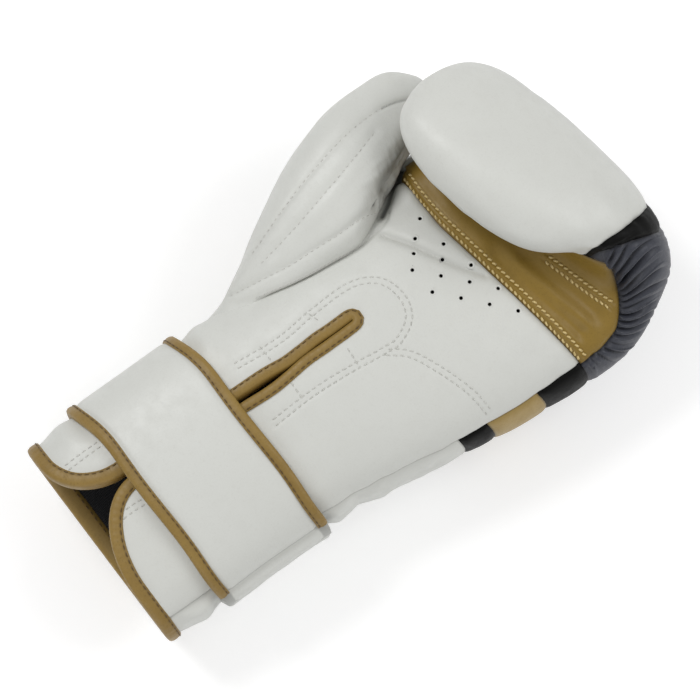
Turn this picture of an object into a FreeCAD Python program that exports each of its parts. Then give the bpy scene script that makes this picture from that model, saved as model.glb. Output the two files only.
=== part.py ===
"""Boxing glove, left hand, lying on its back with the palm up.

+X is the little-finger side, +Y runs from the cuff mouth to the knuckles, +Z is the palm side.
The shell is one tube that runs up the hand and then curls over the fingers.
Leather, foam and lining are the layers of that tube, cut into the panels that are sewn together.
All sizes are in millimetres.
"""

import FreeCAD, Part
import math
import os

Vector = FreeCAD.Vector

# ---------------------------------------------------------------- driving dimensions
# Layers, from the outside in
LEATHER = 1.6
LINING = 1.0
PLY_GAP = 0.3  # between layers that aren't glued
JOINT_GAP = 0.4  # between bodies that move on each other
TAPE = 1.0  # binding tape, one ply
TAPE_WIDTH = 5.5  # what shows of the tape beside the edge that it binds
TAPE_WRAP = 0.7  # how far the tape stands past the edge

# Cuff and hand: reach to the thumb side and to the little-finger side, underside and palm heights
CUFF_THUMB_HALF = 57.0
CUFF_LITTLE_HALF = 56.0
CUFF_LOW = 6.6
CUFF_HIGH = 70.5
WRIST_Y = 114.0
WRIST_THUMB_HALF = 53.0
WRIST_LITTLE_HALF = 59.0
WRIST_LOW = 7.4
WRIST_HIGH = 80.0
PALM_Y = 172.0
PALM_THUMB_HALF = 49.0
PALM_LITTLE_HALF = 73.0
PALM_LOW = 1.0
PALM_HIGH = 82.5
STRAP_NIP = 2.5  # how far the strap draws in the little-finger side of the cuff
STRAP_CROWN = 1.6  # how much fuller the palm side of the cuff is under the strap

# Fist: the tube curls about a fold axis that leans towards the thumb
FOLD_Y = 243.0
FOLD_Z = 86.0
FOLD_RADIUS = 6.0
FIST_LEAN = 9.0  # degrees
FIST_THUMB_HALF = 59.0
FIST_LITTLE_HALF = 81.5
FIST_DEPTH = 58.0  # fold axis to the front of the fist
FIST_TOP = 39.5  # fold axis to the top of the finger roll
ROLL_THUMB_HALF = 74.0
ROLL_LITTLE_HALF = 33.0
ROLL_OVERHANG = 22.0  # how far the finger roll stands back over the palm

# Walls between the outside and the hand's room
CUFF_WALL = 8.0
PALM_WALL = 12.0
SIDE_WALL = 15.0
WRIST_BACK_WALL = 19.0
BACK_WALL = 36.0
FRONT_WALL = 19.0
ROLL_WALL = 12.0
ROOM_END = 150.0  # degrees of curl where the finger room stops

# Thumb: plan of the middle line, with the reach of the skin on both sides and in height
THUMB_ROOT = (-44.0, 104.0, 50.0)
THUMB_LOW = (-52.0, 140.0, 60.0)
THUMB_MID = (-59.0, 178.0, 66.5)
THUMB_FULL = (-69.0, 208.0, 68.5)
THUMB_END = (-78.0, 236.0, 69.0)
THUMB_ROOT_HALF = 10.0
THUMB_LOW_HALF = 19.0
THUMB_MID_HALF = 28.5
THUMB_FULL_HALF = 28.0
THUMB_END_HALF = 20.0
THUMB_NOSE = 20.5  # past the last full section
THUMB_HEIGHT = 0.88  # height of the section over its width
STALL_MOUTH = (-20.0, 98.0, 48.0)  # where the thumb leaves the hand's room
STALL_BEND = (-38.0, 124.0, 54.0)
STALL_HALF = 13.5
STALL_TIP_HALF = 10.5
STALL_HEIGHT = 0.95
STALL_NOSE = 8.0
THUMB_SWING = 8.0  # degrees outwards
THUMB_PIVOT_OUT = 9.0  # of the swing's line from the thumb's root
THUMB_PIVOT_AHEAD = 3.0
FIST_SWING = 8.0  # degrees open
FIST_PIVOT_DROP = 0.2  # of the pivot under the back of the glove

# Palm slit and the scoops that open it at the cuff mouth
SLIT_FOOT = (-14.9, 30.0)
SLIT_TIP = (-7.4, 159.0)
SLIT_HALF = 0.9
SCOOP_THUMB_X = -45.0
SCOOP_LITTLE_X = 32.0

# Closure strap
STRAP_FRONT_Y = 90.5
STRAP_REAR_Y = 30.0
STRAP_SEAT = 1.3  # clear of the binding tape
STRAP_THICK = 3.8
STRAP_FACE = 0.9  # leather of the strap
STRAP_TAPE = 0.8
STRAP_ROOT_Z = 52.0
STRAP_ROOT_LENGTH = 15.0
STRAP_FOLD_Z = 44.0
STRAP_TAIL_X = 16.0
LOOP_PILE = 1.0
HOOK_PILE = 1.1
PATCH_MARGIN = 7.0
PATCH_REACH = 50.0

# Seams and colour panels
SEAM_Z = 61.0  # of the palm leather at the little-finger side
SEAM_THUMB_Z = 36.0  # and under the thumb
KNUCKLE_SETBACK = 23.2  # seam of palm and grip panel behind the fold axis
STRIPE_LITTLE_Y = 166.0
STRIPE_THUMB_Y = 118.0
STRIPE_EDGE_WIDTH = 14.5
STRIPE_GOLD_WIDTH = 26.5
GRIP_LITTLE_X = 72.0
GRIP_FRONT = 10.5
GRIP_CORNER = 22.0
GRIP_LOW_Z = 62.0
GRIP_TOP_Z = 94.0
ROLL_SEAM_X = 36.0
ROLL_SEAM_TILT = 28.0  # degrees, so that it crosses the knuckles towards the thumb
FIST_BAND_WIDTH = 13.0

# Small parts
VENT_RADIUS = 0.7
VENT_STEP = (10.3, 9.0)
VENT_ROWS = ((4.0, 194.0, 4), (-10.0, 193.0, 4), (-16.0, 198.5, 3), (-21.5, 203.5, 2), (-28.0, 211.5, 1))
GRIP_BAR_RADIUS = 2.5
GRIP_BAR_LENGTH = 54.0
GRIP_BAR_OFFSET = 6.0  # of its middle, to the little finger
GRIP_BAR_COVER = 4.6  # of foam and leather over it, in the fold

RING_POINTS = 20
FAR = 400.0


# ---------------------------------------------------------------- shape helpers
def mix(a, b, t):
    return a + (b - a) * t


def power(value, exponent):
    return math.copysign(abs(value) ** exponent, value)


class Station:
    """One cross-section of a tube: where it stands, how far it reaches each way and its walls."""

    def __init__(self, origin, across, inward, reach, walls=(0, 0, 0), flat=2.6):
        self.origin, self.across, self.inward = origin, across, inward
        self.thumb, self.little, self.inner, self.outer = reach
        self.side_wall, self.inner_wall, self.outer_wall = walls
        self.flat = flat

    def ring(self, grow):
        """The outside, moved outwards by grow."""
        return self.outline(self.thumb + grow, self.little + grow, self.inner + grow, self.outer + grow)

    def room(self, grow):
        """The hand's room, moved outwards by grow."""
        side = grow - self.side_wall
        return self.outline(
            self.thumb + side,
            self.little + side,
            self.inner + grow - self.inner_wall,
            self.outer + grow - self.outer_wall,
        )

    def outline(self, thumb, little, inner, outer):
        points = []
        for k in range(RING_POINTS):
            angle = 2 * math.pi * k / RING_POINTS
            c, s = math.cos(angle), math.sin(angle)
            side = power(c, 2 / 2.4) * (little if c > 0 else thumb)
            rise = power(s, 2 / (self.flat if s > 0 else 2.3)) * (inner if s > 0 else outer)
            points.append(self.origin + self.across * side + self.inward * rise)
        return points


def tube(rings):
    """A solid whose skin follows the rings of control points smoothly. Its ends are flat."""
    surface = Part.BSplineSurface()
    along = list(range(len(rings) - 2))
    across = list(range(len(rings[0]) + 1))
    ends = [4] + [1] * (len(along) - 2) + [4]
    surface.buildFromPolesMultsKnots(rings, ends, [1] * len(across), along, across, False, True, 3, 3)
    first = Part.Face(Part.Wire(surface.uIso(along[0]).toShape()))
    last = Part.Face(Part.Wire(surface.uIso(along[-1]).toShape()))
    skin = Part.makeShell([surface.toShape(), first, last])
    skin.sewShape()
    solid = Part.makeSolid(skin if isinstance(skin, Part.Shell) else skin.Shells[0])
    if solid.Volume < 0:
        solid.reverse()
    return solid


def prism(points, low, high):
    """A plan outline, stood up from low to high."""
    corners = [Vector(x, y, low) for x, y in points]
    face = Part.Face(Part.makePolygon(corners + corners[:1]))
    return face.extrude(Vector(0, 0, high - low))


def slab(y0, y1):
    return Part.makeBox(2 * FAR, y1 - y0, 2 * FAR, Vector(-FAR, y0, -FAR))


def beyond(point, normal):
    """Everything on the side of a plane that its normal points to."""
    half = Part.makeBox(2 * FAR, 2 * FAR, FAR, Vector(-FAR, -FAR, 0))
    turn = FreeCAD.Rotation(UP, normal)
    half.Placement = FreeCAD.Placement(point, turn)
    return half


def largest(shape):
    """The main solid of a cut, without the crumbs beside it."""
    return max(shape.Solids, key=lambda solid: solid.Volume)


# ---------------------------------------------------------------- the curled tube
LEAN = math.radians(FIST_LEAN)
FOLD = Vector(0, FOLD_Y, FOLD_Z)
SIDE = Vector(math.cos(LEAN), math.sin(LEAN), 0)  # along the fold axis, to the little finger
AHEAD = Vector(-math.sin(LEAN), math.cos(LEAN), 0)
UP = Vector(0, 0, 1)
KNUCKLE = FOLD - AHEAD * KNUCKLE_SETBACK  # on the plane between hand and fist


def hand_station(y, thumb, little, low, high, back, lean=0.0):
    """A cross-section of the cuff or hand. back is the wall behind the hand."""
    middle = mix(low, high, 0.52)
    angle = math.radians(lean)
    side = mix(CUFF_WALL, SIDE_WALL, min(1.0, max(0.0, y / PALM_Y)))
    palm = mix(CUFF_WALL, PALM_WALL, min(1.0, max(0.0, y / PALM_Y)))
    reach = (thumb, little, high - middle, middle - low)
    across = Vector(math.cos(angle), math.sin(angle), 0)
    return Station(Vector(0, y, middle), across, UP, reach, (side, palm, back), 3.0)


def hand_stations():
    out = []
    for share, bulge in ((-0.2, 0.0), (-0.04, 0.0), (0.12, 0.3), (0.3, 0.9), (0.55, 1.0), (0.8, 0.6)):
        out.append(
            hand_station(
                WRIST_Y * share,
                mix(CUFF_THUMB_HALF, WRIST_THUMB_HALF, share),
                mix(CUFF_LITTLE_HALF, WRIST_LITTLE_HALF, share) - STRAP_NIP * bulge,
                CUFF_LOW,
                mix(CUFF_HIGH, WRIST_HIGH, share) + STRAP_CROWN * bulge,
                mix(CUFF_WALL, WRIST_BACK_WALL, max(0.0, share)),
            )
        )
    knuckle_y = FOLD_Y - KNUCKLE_SETBACK
    halfway = mix(WRIST_Y, PALM_Y, 0.5)
    inner_z = FOLD_Z - FOLD_RADIUS
    out.append(
        hand_station(WRIST_Y, WRIST_THUMB_HALF, WRIST_LITTLE_HALF, WRIST_LOW, WRIST_HIGH, WRIST_BACK_WALL)
    )
    out.append(
        hand_station(
            halfway,
            mix(WRIST_THUMB_HALF, PALM_THUMB_HALF, 0.3),
            mix(WRIST_LITTLE_HALF, PALM_LITTLE_HALF, 0.55),
            mix(WRIST_LOW, PALM_LOW, 0.6),
            mix(WRIST_HIGH, PALM_HIGH, 0.7),
            mix(WRIST_BACK_WALL, BACK_WALL, 0.5),
            1.0,
        )
    )
    out.append(
        hand_station(
            PALM_Y,
            PALM_THUMB_HALF,
            PALM_LITTLE_HALF,
            PALM_LOW,
            PALM_HIGH,
            mix(WRIST_BACK_WALL, BACK_WALL, 0.85),
            0.33 * FIST_LEAN,
        )
    )
    out.append(
        hand_station(
            mix(PALM_Y, knuckle_y, 0.52),
            mix(PALM_THUMB_HALF, FIST_THUMB_HALF, 0.5),
            mix(PALM_LITTLE_HALF, FIST_LITTLE_HALF, 0.55),
            0.2 * PALM_LOW,
            mix(PALM_HIGH, inner_z, 0.5),
            BACK_WALL,
            0.67 * FIST_LEAN,
        )
    )
    out.append(
        hand_station(
            knuckle_y,
            mix(PALM_THUMB_HALF, FIST_THUMB_HALF, 0.95),
            mix(PALM_LITTLE_HALF, FIST_LITTLE_HALF, 0.9),
            0.0,
            inner_z,
            BACK_WALL,
            0.95 * FIST_LEAN,
        )
    )
    return out


def curl_station(turn, thumb, little, centre, outer):
    """A cross-section of the fist, turned about the fold axis by turn degrees.

    centre is the radius of its widest line, outer that of the outside.
    """
    angle = math.radians(turn)
    inward = UP * math.cos(angle) - AHEAD * math.sin(angle)
    share = min(1.0, turn / 90.0)
    late = max(0.0, turn / 90.0 - 1.0)
    walls = (
        SIDE_WALL,
        PALM_WALL,
        mix(mix(BACK_WALL, FRONT_WALL, share), ROLL_WALL, late),
    )
    reach = (thumb, little, centre - FOLD_RADIUS, outer - centre)
    return Station(FOLD - inward * centre, SIDE, inward, reach, walls)


def fist_stations(last=180.0):
    """The curl up to a turn in degrees."""
    deep, top = FIST_DEPTH, FIST_TOP
    wide, narrow = FIST_LITTLE_HALF, ROLL_LITTLE_HALF
    near, far = FIST_THUMB_HALF, ROLL_THUMB_HALF
    table = (
        (0, near, wide, 0.48 * FOLD_Z, FOLD_Z),
        (25, near, wide - 3, 0.45 * FOLD_Z, 0.97 * FOLD_Z),
        (50, near + 2, wide - 7, 0.68 * deep, 1.25 * deep),
        (75, mix(near, far, 0.45), mix(wide, narrow, 0.22), 0.6 * deep, 1.04 * deep),
        (100, mix(near, far, 0.8), mix(wide, narrow, 0.34), 0.56 * deep, 0.97 * deep),
        (125, far - 1, mix(wide, narrow, 0.6), 0.7 * top, 1.25 * top),
        (150, far, mix(wide, narrow, 0.85), 0.6 * top, 1.06 * top),
        (176, far - 2, narrow, 0.56 * top, top),
    )
    return [curl_station(*row) for row in table if row[0] <= last]


def roll_rings(grow):
    """The rounded end of the finger roll, which stands back over the palm."""
    middle = 0.5 * (FOLD_RADIUS + FIST_TOP)
    half = 0.5 * (FIST_TOP - FOLD_RADIUS)
    left, right = -(ROLL_THUMB_HALF - 3), ROLL_LITTLE_HALF - 3
    centre, spread = 0.5 * (left + right), 0.5 * (right - left)
    out = []
    for share in (0.35, 0.7, 0.9, 0.985, 1.0):
        size = math.sqrt(max(0.02, 1 - share**2.6))
        origin = FOLD + UP * middle - AHEAD * (ROLL_OVERHANG + grow) * share + SIDE * centre
        wide, high = (spread + grow) * size, (half + grow) * size
        thumb = (spread + grow) * mix(size, 1, 0.25)
        out.append(Station(origin, SIDE, UP * -1, (thumb, wide, high, high), flat=2.3).ring(0))
    return out


CACHE = {}


def shell(grow):
    """The outside of the glove, moved outwards by grow, as a solid."""
    key = ("shell", round(grow, 4))
    if key not in CACHE:
        rings = [station.ring(grow) for station in hand_stations() + fist_stations()]
        CACHE[key] = tube(rings + roll_rings(grow))
    return CACHE[key]


def room(grow):
    """The hand's room, moved outwards by grow, as a solid. It ends inside the finger roll."""
    key = ("room", round(grow, 4))
    if key not in CACHE:
        CACHE[key] = tube([station.room(grow) for station in hand_stations() + fist_stations(ROOM_END)])
    return CACHE[key]


# ---------------------------------------------------------------- thumb
def finger_tube(line, halves, height, nose, grow):
    """A tube along a middle line, closed by a round nose, moved outwards by grow."""
    points = [Vector(*p) for p in line]
    last = len(points) - 1
    rings = []
    for k, (point, half) in enumerate(zip(points, halves)):
        heading = (points[min(k + 1, last)] - points[max(k - 1, 0)]).normalize()
        across = heading.cross(UP).normalize()
        upward = across.cross(heading)
        wide, high = half + grow, half * height + grow
        rings.append(Station(point, across, upward, (wide, wide, high, high)).ring(0))
    for share, size in ((0.4, 0.9), (0.75, 0.66), (0.95, 0.3), (1.0, 0.1)):
        origin = points[-1] + heading * (nose + grow) * share
        end_wide, end_high = wide * size, high * size
        rings.append(Station(origin, across, upward, (end_wide, end_wide, end_high, end_high)).ring(0))
    return tube(rings)


def thumb_tube(grow):
    line = (THUMB_ROOT, THUMB_LOW, THUMB_MID, THUMB_FULL, THUMB_END)
    halves = (THUMB_ROOT_HALF, THUMB_LOW_HALF, THUMB_MID_HALF, THUMB_FULL_HALF, THUMB_END_HALF)
    return finger_tube(line, halves, THUMB_HEIGHT, THUMB_NOSE, grow)


def stall(grow):
    """The room for the thumb, from the hand's room to the tip."""
    line = (STALL_MOUTH, STALL_BEND, THUMB_LOW, THUMB_MID, THUMB_FULL, THUMB_END)
    halves = (STALL_HALF,) * 5 + (STALL_TIP_HALF,)
    return finger_tube(line, halves, STALL_HEIGHT, STALL_NOSE, grow)


FIST_PIVOT = KNUCKLE - UP * (FOLD_Z + FIST_PIVOT_DROP)
THUMB_PIVOT = Vector(*THUMB_ROOT) + Vector(-THUMB_PIVOT_OUT, THUMB_PIVOT_AHEAD, 0)


def swung_fist(grow, share):
    """The fist, swung open by a share of its travel."""
    ahead = shell(grow).common(beyond(KNUCKLE, AHEAD))
    ahead.rotate(FIST_PIVOT, SIDE, -FIST_SWING * share)
    return ahead


def swung_hand(grow, share):
    """The glove as the thumb sees it after a share of its own travel."""
    turned = shell(grow).copy()
    turned.rotate(THUMB_PIVOT, UP, -THUMB_SWING * share)
    return turned


def thumb_solid(shrink):
    """The thumb without what the hand and the swinging fist take, moved inwards by shrink."""
    taken = JOINT_GAP + shrink
    left = thumb_tube(-shrink).cut(shell(taken))
    for share in (0.5, 1.0):
        left = left.cut(swung_fist(taken, share)).cut(swung_hand(taken, share))
    return largest(left)


# ---------------------------------------------------------------- plan of the slit and scoops
def slit_outline(grow):
    """The palm-side opening in plan: cuff edge, scoops and slit, moved into the leather by grow."""
    foot, tip = Vector(*SLIT_FOOT, 0), Vector(*SLIT_TIP, 0)
    along = (tip - foot).normalize()
    aside = Vector(along.y, -along.x, 0)
    path = [Vector(-FAR / 4, 0, 0), Vector(SCOOP_THUMB_X - 10, 0, 0)]
    reach = foot - aside * SLIT_HALF
    for t in (0.0, 0.2, 0.4, 0.6, 0.8, 1.0):
        angle = math.radians(90 * t)
        path.append(
            Vector(
                mix(SCOOP_THUMB_X, reach.x, math.sin(angle)),
                reach.y * (1 - math.cos(angle)),
                0,
            )
        )
    for t in (0.33, 0.67, 1.0):
        path.append(reach + along * (tip - foot).Length * t)
    for turn in (120, 60):
        angle = math.radians(turn)
        path.append(tip + aside * SLIT_HALF * math.cos(angle) + along * SLIT_HALF * math.sin(angle))
    reach = foot + aside * SLIT_HALF
    for t in (1.0, 0.67, 0.33):
        path.append(reach + along * (tip - foot).Length * t)
    for t in (1.0, 0.8, 0.6, 0.4, 0.2, 0.0):
        angle = math.radians(90 * t)
        path.append(
            Vector(
                mix(SCOOP_LITTLE_X, reach.x, math.sin(angle)),
                reach.y * (1 - math.cos(angle)),
                0,
            )
        )
    path += [Vector(SCOOP_LITTLE_X + 10, 0, 0), Vector(FAR / 4, 0, 0)]
    out = []
    for k, point in enumerate(path):
        before = point - path[max(k - 1, 0)]
        after = path[min(k + 1, len(path) - 1)] - point
        if before.Length < 1e-9:
            before = after
        if after.Length < 1e-9:
            after = before
        before.normalize()
        after.normalize()
        normal = Vector(-before.y - after.y, before.x + after.x, 0)
        normal.normalize()
        spread = 1.0 / max(0.5, normal.dot(Vector(-before.y, before.x, 0)))
        out.append(point + normal * grow * spread)
    edge = [(p.x, p.y) for p in out]
    return edge + [(FAR / 4, -60.0), (-FAR / 4, -60.0)]


def slit_prism(grow):
    return prism(slit_outline(grow), CUT_Z, FAR)


CUT_Z = 0.5 * (CUFF_LOW + CUFF_HIGH)


# ---------------------------------------------------------------- hand and fist layers
hand_side = beyond(KNUCKLE - AHEAD * (JOINT_GAP / 2), AHEAD * -1)
fist_side = beyond(KNUCKLE + AHEAD * (JOINT_GAP / 2), AHEAD)
seam_at = Vector(WRIST_LITTLE_HALF, 0, SEAM_Z)
seam_run = seam_at - Vector(-WRIST_THUMB_HALF, 0, SEAM_THUMB_Z)
seam_normal = Vector(-seam_run.z, 0, seam_run.x).normalize()
palm_side = beyond(seam_at, seam_normal)
back_side = beyond(seam_at, seam_normal * -1)
mouth = slab(-FAR, 0)

stall_hole = stall(LINING + PLY_GAP)

skin = shell(0).cut(shell(-LEATHER)).cut(mouth)
foam = shell(-LEATHER - PLY_GAP).cut(room(LINING + PLY_GAP)).cut(mouth)
lining = room(LINING).cut(room(0)).cut(mouth)

nodes = {}

hand_skin = skin.common(hand_side).cut(stall_hole)
palm_skin = hand_skin.common(palm_side).cut(slit_prism(0))
for x, y, count in VENT_ROWS:
    for k in range(count):
        at = Vector(x + VENT_STEP[0] * k, y + VENT_STEP[1] * k, SEAM_Z)
        palm_skin = palm_skin.cut(Part.makeCylinder(VENT_RADIUS, FAR, at))
nodes["palm_cover"] = palm_skin

# Diagonal bands over the back, from the little-finger side down to the wrist at the thumb side
run = Vector(-(PALM_LITTLE_HALF + PALM_THUMB_HALF), STRIPE_THUMB_Y - STRIPE_LITTLE_Y, 0).normalize()
stripe_normal = Vector(run.y, -run.x, 0)
stripe_at = Vector(PALM_LITTLE_HALF, STRIPE_LITTLE_Y, 0)
step = Vector(0, 1, 0)
lines = [
    stripe_at,
    stripe_at + step * STRIPE_EDGE_WIDTH,
    stripe_at + step * (STRIPE_EDGE_WIDTH + STRIPE_GOLD_WIDTH),
]
back_skin = hand_skin.common(back_side)
nodes["back_cover"] = back_skin.cut(beyond(lines[0], stripe_normal))
nodes["back_stripe_lower"] = back_skin.common(beyond(lines[0], stripe_normal)).cut(
    beyond(lines[1], stripe_normal)
)
nodes["back_stripe_gold"] = back_skin.common(beyond(lines[1], stripe_normal)).cut(
    beyond(lines[2], stripe_normal)
)
nodes["back_stripe_upper"] = back_skin.common(beyond(lines[2], stripe_normal))

hand_foam = foam.common(hand_side).cut(stall_hole)
nodes["palm_pad"] = hand_foam.common(palm_side).cut(slit_prism(0))
nodes["back_pad"] = hand_foam.common(back_side)
nodes["hand_lining"] = lining.common(hand_side).cut(stall_hole).cut(slit_prism(0))

# Binding tape round the mouth and up the slit
wall = shell(0).cut(room(0)).cut(mouth)
taped = shell(TAPE).cut(room(-TAPE))
palm_tape = taped.common(palm_side).common(slit_prism(TAPE_WIDTH)).cut(slit_prism(-TAPE_WRAP))
nodes["palm_binding"] = palm_tape.cut(wall.cut(slit_prism(0)))
back_tape = taped.common(back_side).common(slab(-TAPE_WRAP, TAPE_WIDTH))
nodes["back_binding"] = back_tape.cut(wall)

# Fist: grip panel in the fold, finger roll, white knuckles, band and gathered knuckle panel
fist_skin = skin.common(fist_side)
grip_edge = []
for t in range(9):
    angle = math.radians(90.0 * t / 8)
    x = GRIP_LITTLE_X - GRIP_CORNER + GRIP_CORNER * math.cos(angle)
    y = FOLD_Y + GRIP_FRONT + x * math.tan(LEAN) - GRIP_CORNER + GRIP_CORNER * math.sin(angle)
    grip_edge.append((x, y))
grip_plan = [(-FAR / 4, KNUCKLE.y - FAR / 4), (GRIP_LITTLE_X, KNUCKLE.y - FAR / 4)] + grip_edge
grip_plan.append((-FAR / 4, FOLD_Y + GRIP_FRONT - FAR / 4 * math.tan(LEAN)))
grip_zone = prism(grip_plan, GRIP_LOW_Z, GRIP_TOP_Z)
nodes["grip_panel"] = fist_skin.common(grip_zone)
rest = fist_skin.cut(grip_zone)
tilt = math.radians(ROLL_SEAM_TILT)
band_normal = Vector(math.cos(tilt), 0, -math.sin(tilt))
band_at = Vector(ROLL_SEAM_X, 0, FOLD_Z)
band_end = band_at + Vector(FIST_BAND_WIDTH, 0, 0)
room_middle_z = 0.5 * (BACK_WALL + FOLD_Z - FOLD_RADIUS - PALM_WALL)
upper_half = beyond(Vector(0, 0, room_middle_z), UP)
white_skin = rest.cut(beyond(band_at, band_normal))
nodes["roll_cover"] = white_skin.common(upper_half)
nodes["knuckle_cover"] = white_skin.cut(upper_half)
nodes["fist_band"] = rest.common(beyond(band_at, band_normal)).cut(beyond(band_end, band_normal))
nodes["knuckle_panel"] = rest.common(beyond(band_end, band_normal))
nodes["finger_lining"] = lining.common(fist_side)

# Grip bar: a firm roll in the foam of the fold, which the fingers close on
bar_drop = FOLD_RADIUS + GRIP_BAR_COVER + GRIP_BAR_RADIUS


def grip_bar(grow):
    length = GRIP_BAR_LENGTH + 2 * grow
    start = FOLD - UP * bar_drop + SIDE * (GRIP_BAR_OFFSET - length / 2)
    return Part.makeCylinder(GRIP_BAR_RADIUS + grow, length, start, SIDE)


nodes["grip_bar"] = grip_bar(0)

# The foam of the fist is three blocks that meet across the middle of the finger room
fist_foam = foam.common(fist_side).cut(grip_bar(PLY_GAP))
room_middle_ahead = 0.5 * (FOLD_RADIUS + PALM_WALL + FIST_DEPTH - FRONT_WALL)
front_half = beyond(FOLD + AHEAD * room_middle_ahead, AHEAD)
nodes["knuckle_pad"] = fist_foam.cut(upper_half)
nodes["front_pad"] = fist_foam.common(upper_half).common(front_half)
nodes["roll_pad"] = fist_foam.common(upper_half).cut(front_half)

# ---------------------------------------------------------------- thumb layers
thumb_outer = thumb_solid(0)
thumb_skin = thumb_outer.cut(thumb_solid(LEATHER)).cut(stall_hole)
thumb_run = Vector(*THUMB_END) - Vector(*THUMB_LOW)
thumb_split = beyond(Vector(*THUMB_END), Vector(-thumb_run.y, thumb_run.x, 0))
nodes["thumb_outer_panel"] = thumb_skin.common(thumb_split)
nodes["thumb_inner_panel"] = thumb_skin.cut(thumb_split)
thumb_foam = thumb_solid(LEATHER + PLY_GAP).cut(stall_hole)
nodes["thumb_outer_pad"] = thumb_foam.common(thumb_split)
nodes["thumb_inner_pad"] = thumb_foam.cut(thumb_split)
nodes["thumb_lining"] = stall(LINING).cut(stall(0)).common(thumb_outer)

# ---------------------------------------------------------------- closure strap
strap_in = STRAP_SEAT
strap_out = STRAP_SEAT + STRAP_THICK
full_out = strap_out + STRAP_TAPE


def cuff(grow, rear, front):
    """A length of the cuff, moved outwards by grow, between two planes."""
    return tube([station.ring(grow) for station in hand_stations()]).common(slab(rear, front))


def band(low, high, rear, front):
    """A ring round the cuff, between two offsets and two planes."""
    return cuff(high, rear, front).cut(cuff(low, rear, front))


def above(z):
    return beyond(Vector(0, 0, z), UP)


def below(z):
    return beyond(Vector(0, 0, z), UP * -1)


little_half = beyond(Vector(0, 0, 0), Vector(1, 0, 0))
thumb_half = beyond(Vector(0, 0, 0), Vector(-1, 0, 0))
tail_end = beyond(Vector(STRAP_TAIL_X, 0, 0), Vector(-1, 0, 0))
span_zone = above(STRAP_ROOT_Z + JOINT_GAP).common(little_half).fuse(
    above(STRAP_FOLD_Z + JOINT_GAP).common(thumb_half)
)
tail_zone = below(STRAP_FOLD_Z).common(tail_end)
root_zone = below(STRAP_ROOT_Z).common(above(STRAP_ROOT_Z - STRAP_ROOT_LENGTH)).common(little_half)

cover = band(strap_in, strap_out, STRAP_REAR_Y, STRAP_FRONT_Y)
core_rear, core_front = STRAP_REAR_Y + TAPE_WIDTH, STRAP_FRONT_Y - TAPE_WIDTH
core_room = band(strap_in + STRAP_FACE, strap_out - STRAP_FACE, core_rear, core_front)
core = band(
    strap_in + STRAP_FACE + PLY_GAP / 2,
    strap_out - STRAP_FACE - PLY_GAP / 2,
    core_rear + PLY_GAP,
    core_front - PLY_GAP,
)
front_tape = band(strap_in, full_out, STRAP_FRONT_Y - TAPE_WIDTH, STRAP_FRONT_Y + TAPE_WRAP).cut(cover)
rear_tape = band(strap_in, full_out, STRAP_REAR_Y - TAPE_WRAP, STRAP_REAR_Y + TAPE_WIDTH).cut(cover)
nodes["strap_cover"] = cover.cut(core_room).common(span_zone)
nodes["strap_core"] = core.common(span_zone)
nodes["strap_binding_front"] = front_tape.common(span_zone)
nodes["strap_binding_rear"] = rear_tape.common(span_zone)

patch_rear, patch_front = STRAP_REAR_Y + PATCH_MARGIN, STRAP_FRONT_Y - PATCH_MARGIN
patch_zone = below(CUT_Z).common(beyond(Vector(STRAP_TAIL_X - PATCH_REACH, 0, 0), Vector(1, 0, 0)))
hook_low, hook_high = strap_in, strap_in + HOOK_PILE
nodes["hook_patch"] = band(hook_low, hook_high, patch_rear, patch_front).common(patch_zone).common(tail_end)
nodes["loop_patch"] = band(0, LOOP_PILE, patch_rear, patch_front).common(patch_zone).common(
    beyond(Vector(STRAP_TAIL_X + PATCH_MARGIN, 0, 0), Vector(-1, 0, 0))
)
tail_cover = band(hook_high, strap_out, STRAP_REAR_Y, STRAP_FRONT_Y)
nodes["strap_tail"] = tail_cover.common(tail_zone)
tail_front = band(hook_high, full_out, STRAP_FRONT_Y - TAPE_WIDTH, STRAP_FRONT_Y + TAPE_WRAP)
tail_rear = band(hook_high, full_out, STRAP_REAR_Y - TAPE_WRAP, STRAP_REAR_Y + TAPE_WIDTH)
nodes["tail_binding_front"] = tail_front.cut(tail_cover).common(tail_zone)
nodes["tail_binding_rear"] = tail_rear.cut(tail_cover).common(tail_zone)
nodes["strap_root"] = band(0, strap_out, STRAP_REAR_Y, STRAP_FRONT_Y).common(root_zone)

# ---------------------------------------------------------------- export
whole = Part.makeCompound(list(nodes.values()))
limits = whole.optimalBoundingBox(False, False)
shift = Vector(-limits.Center.x, -limits.Center.y, -limits.ZMin)

os.makedirs("parts", exist_ok=True)
for name, shape in nodes.items():
    solids = [solid for solid in shape.Solids if solid.Volume > 1.0]
    placed = solids[0] if len(solids) == 1 else Part.makeCompound(solids)
    placed = placed.translated(shift)
    placed.exportStep("parts/" + name + ".step")
    print(name, len(shape.Solids), round(placed.Volume / 1000, 2), placed.isValid())
print("shift", shift, "size", limits.XLength, limits.YLength, limits.ZLength)
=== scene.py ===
"""Looks of a left-hand boxing glove that lies on its back with the palm up.

Lengths are in millimetres in the glove's own frame until a mesh is made: +X little finger, +Y knuckles, +Z palm.
"""

import bpy, math
import numpy as np
from mathutils import Matrix, Vector, noise
from mathutils.bvhtree import BVHTree


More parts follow.
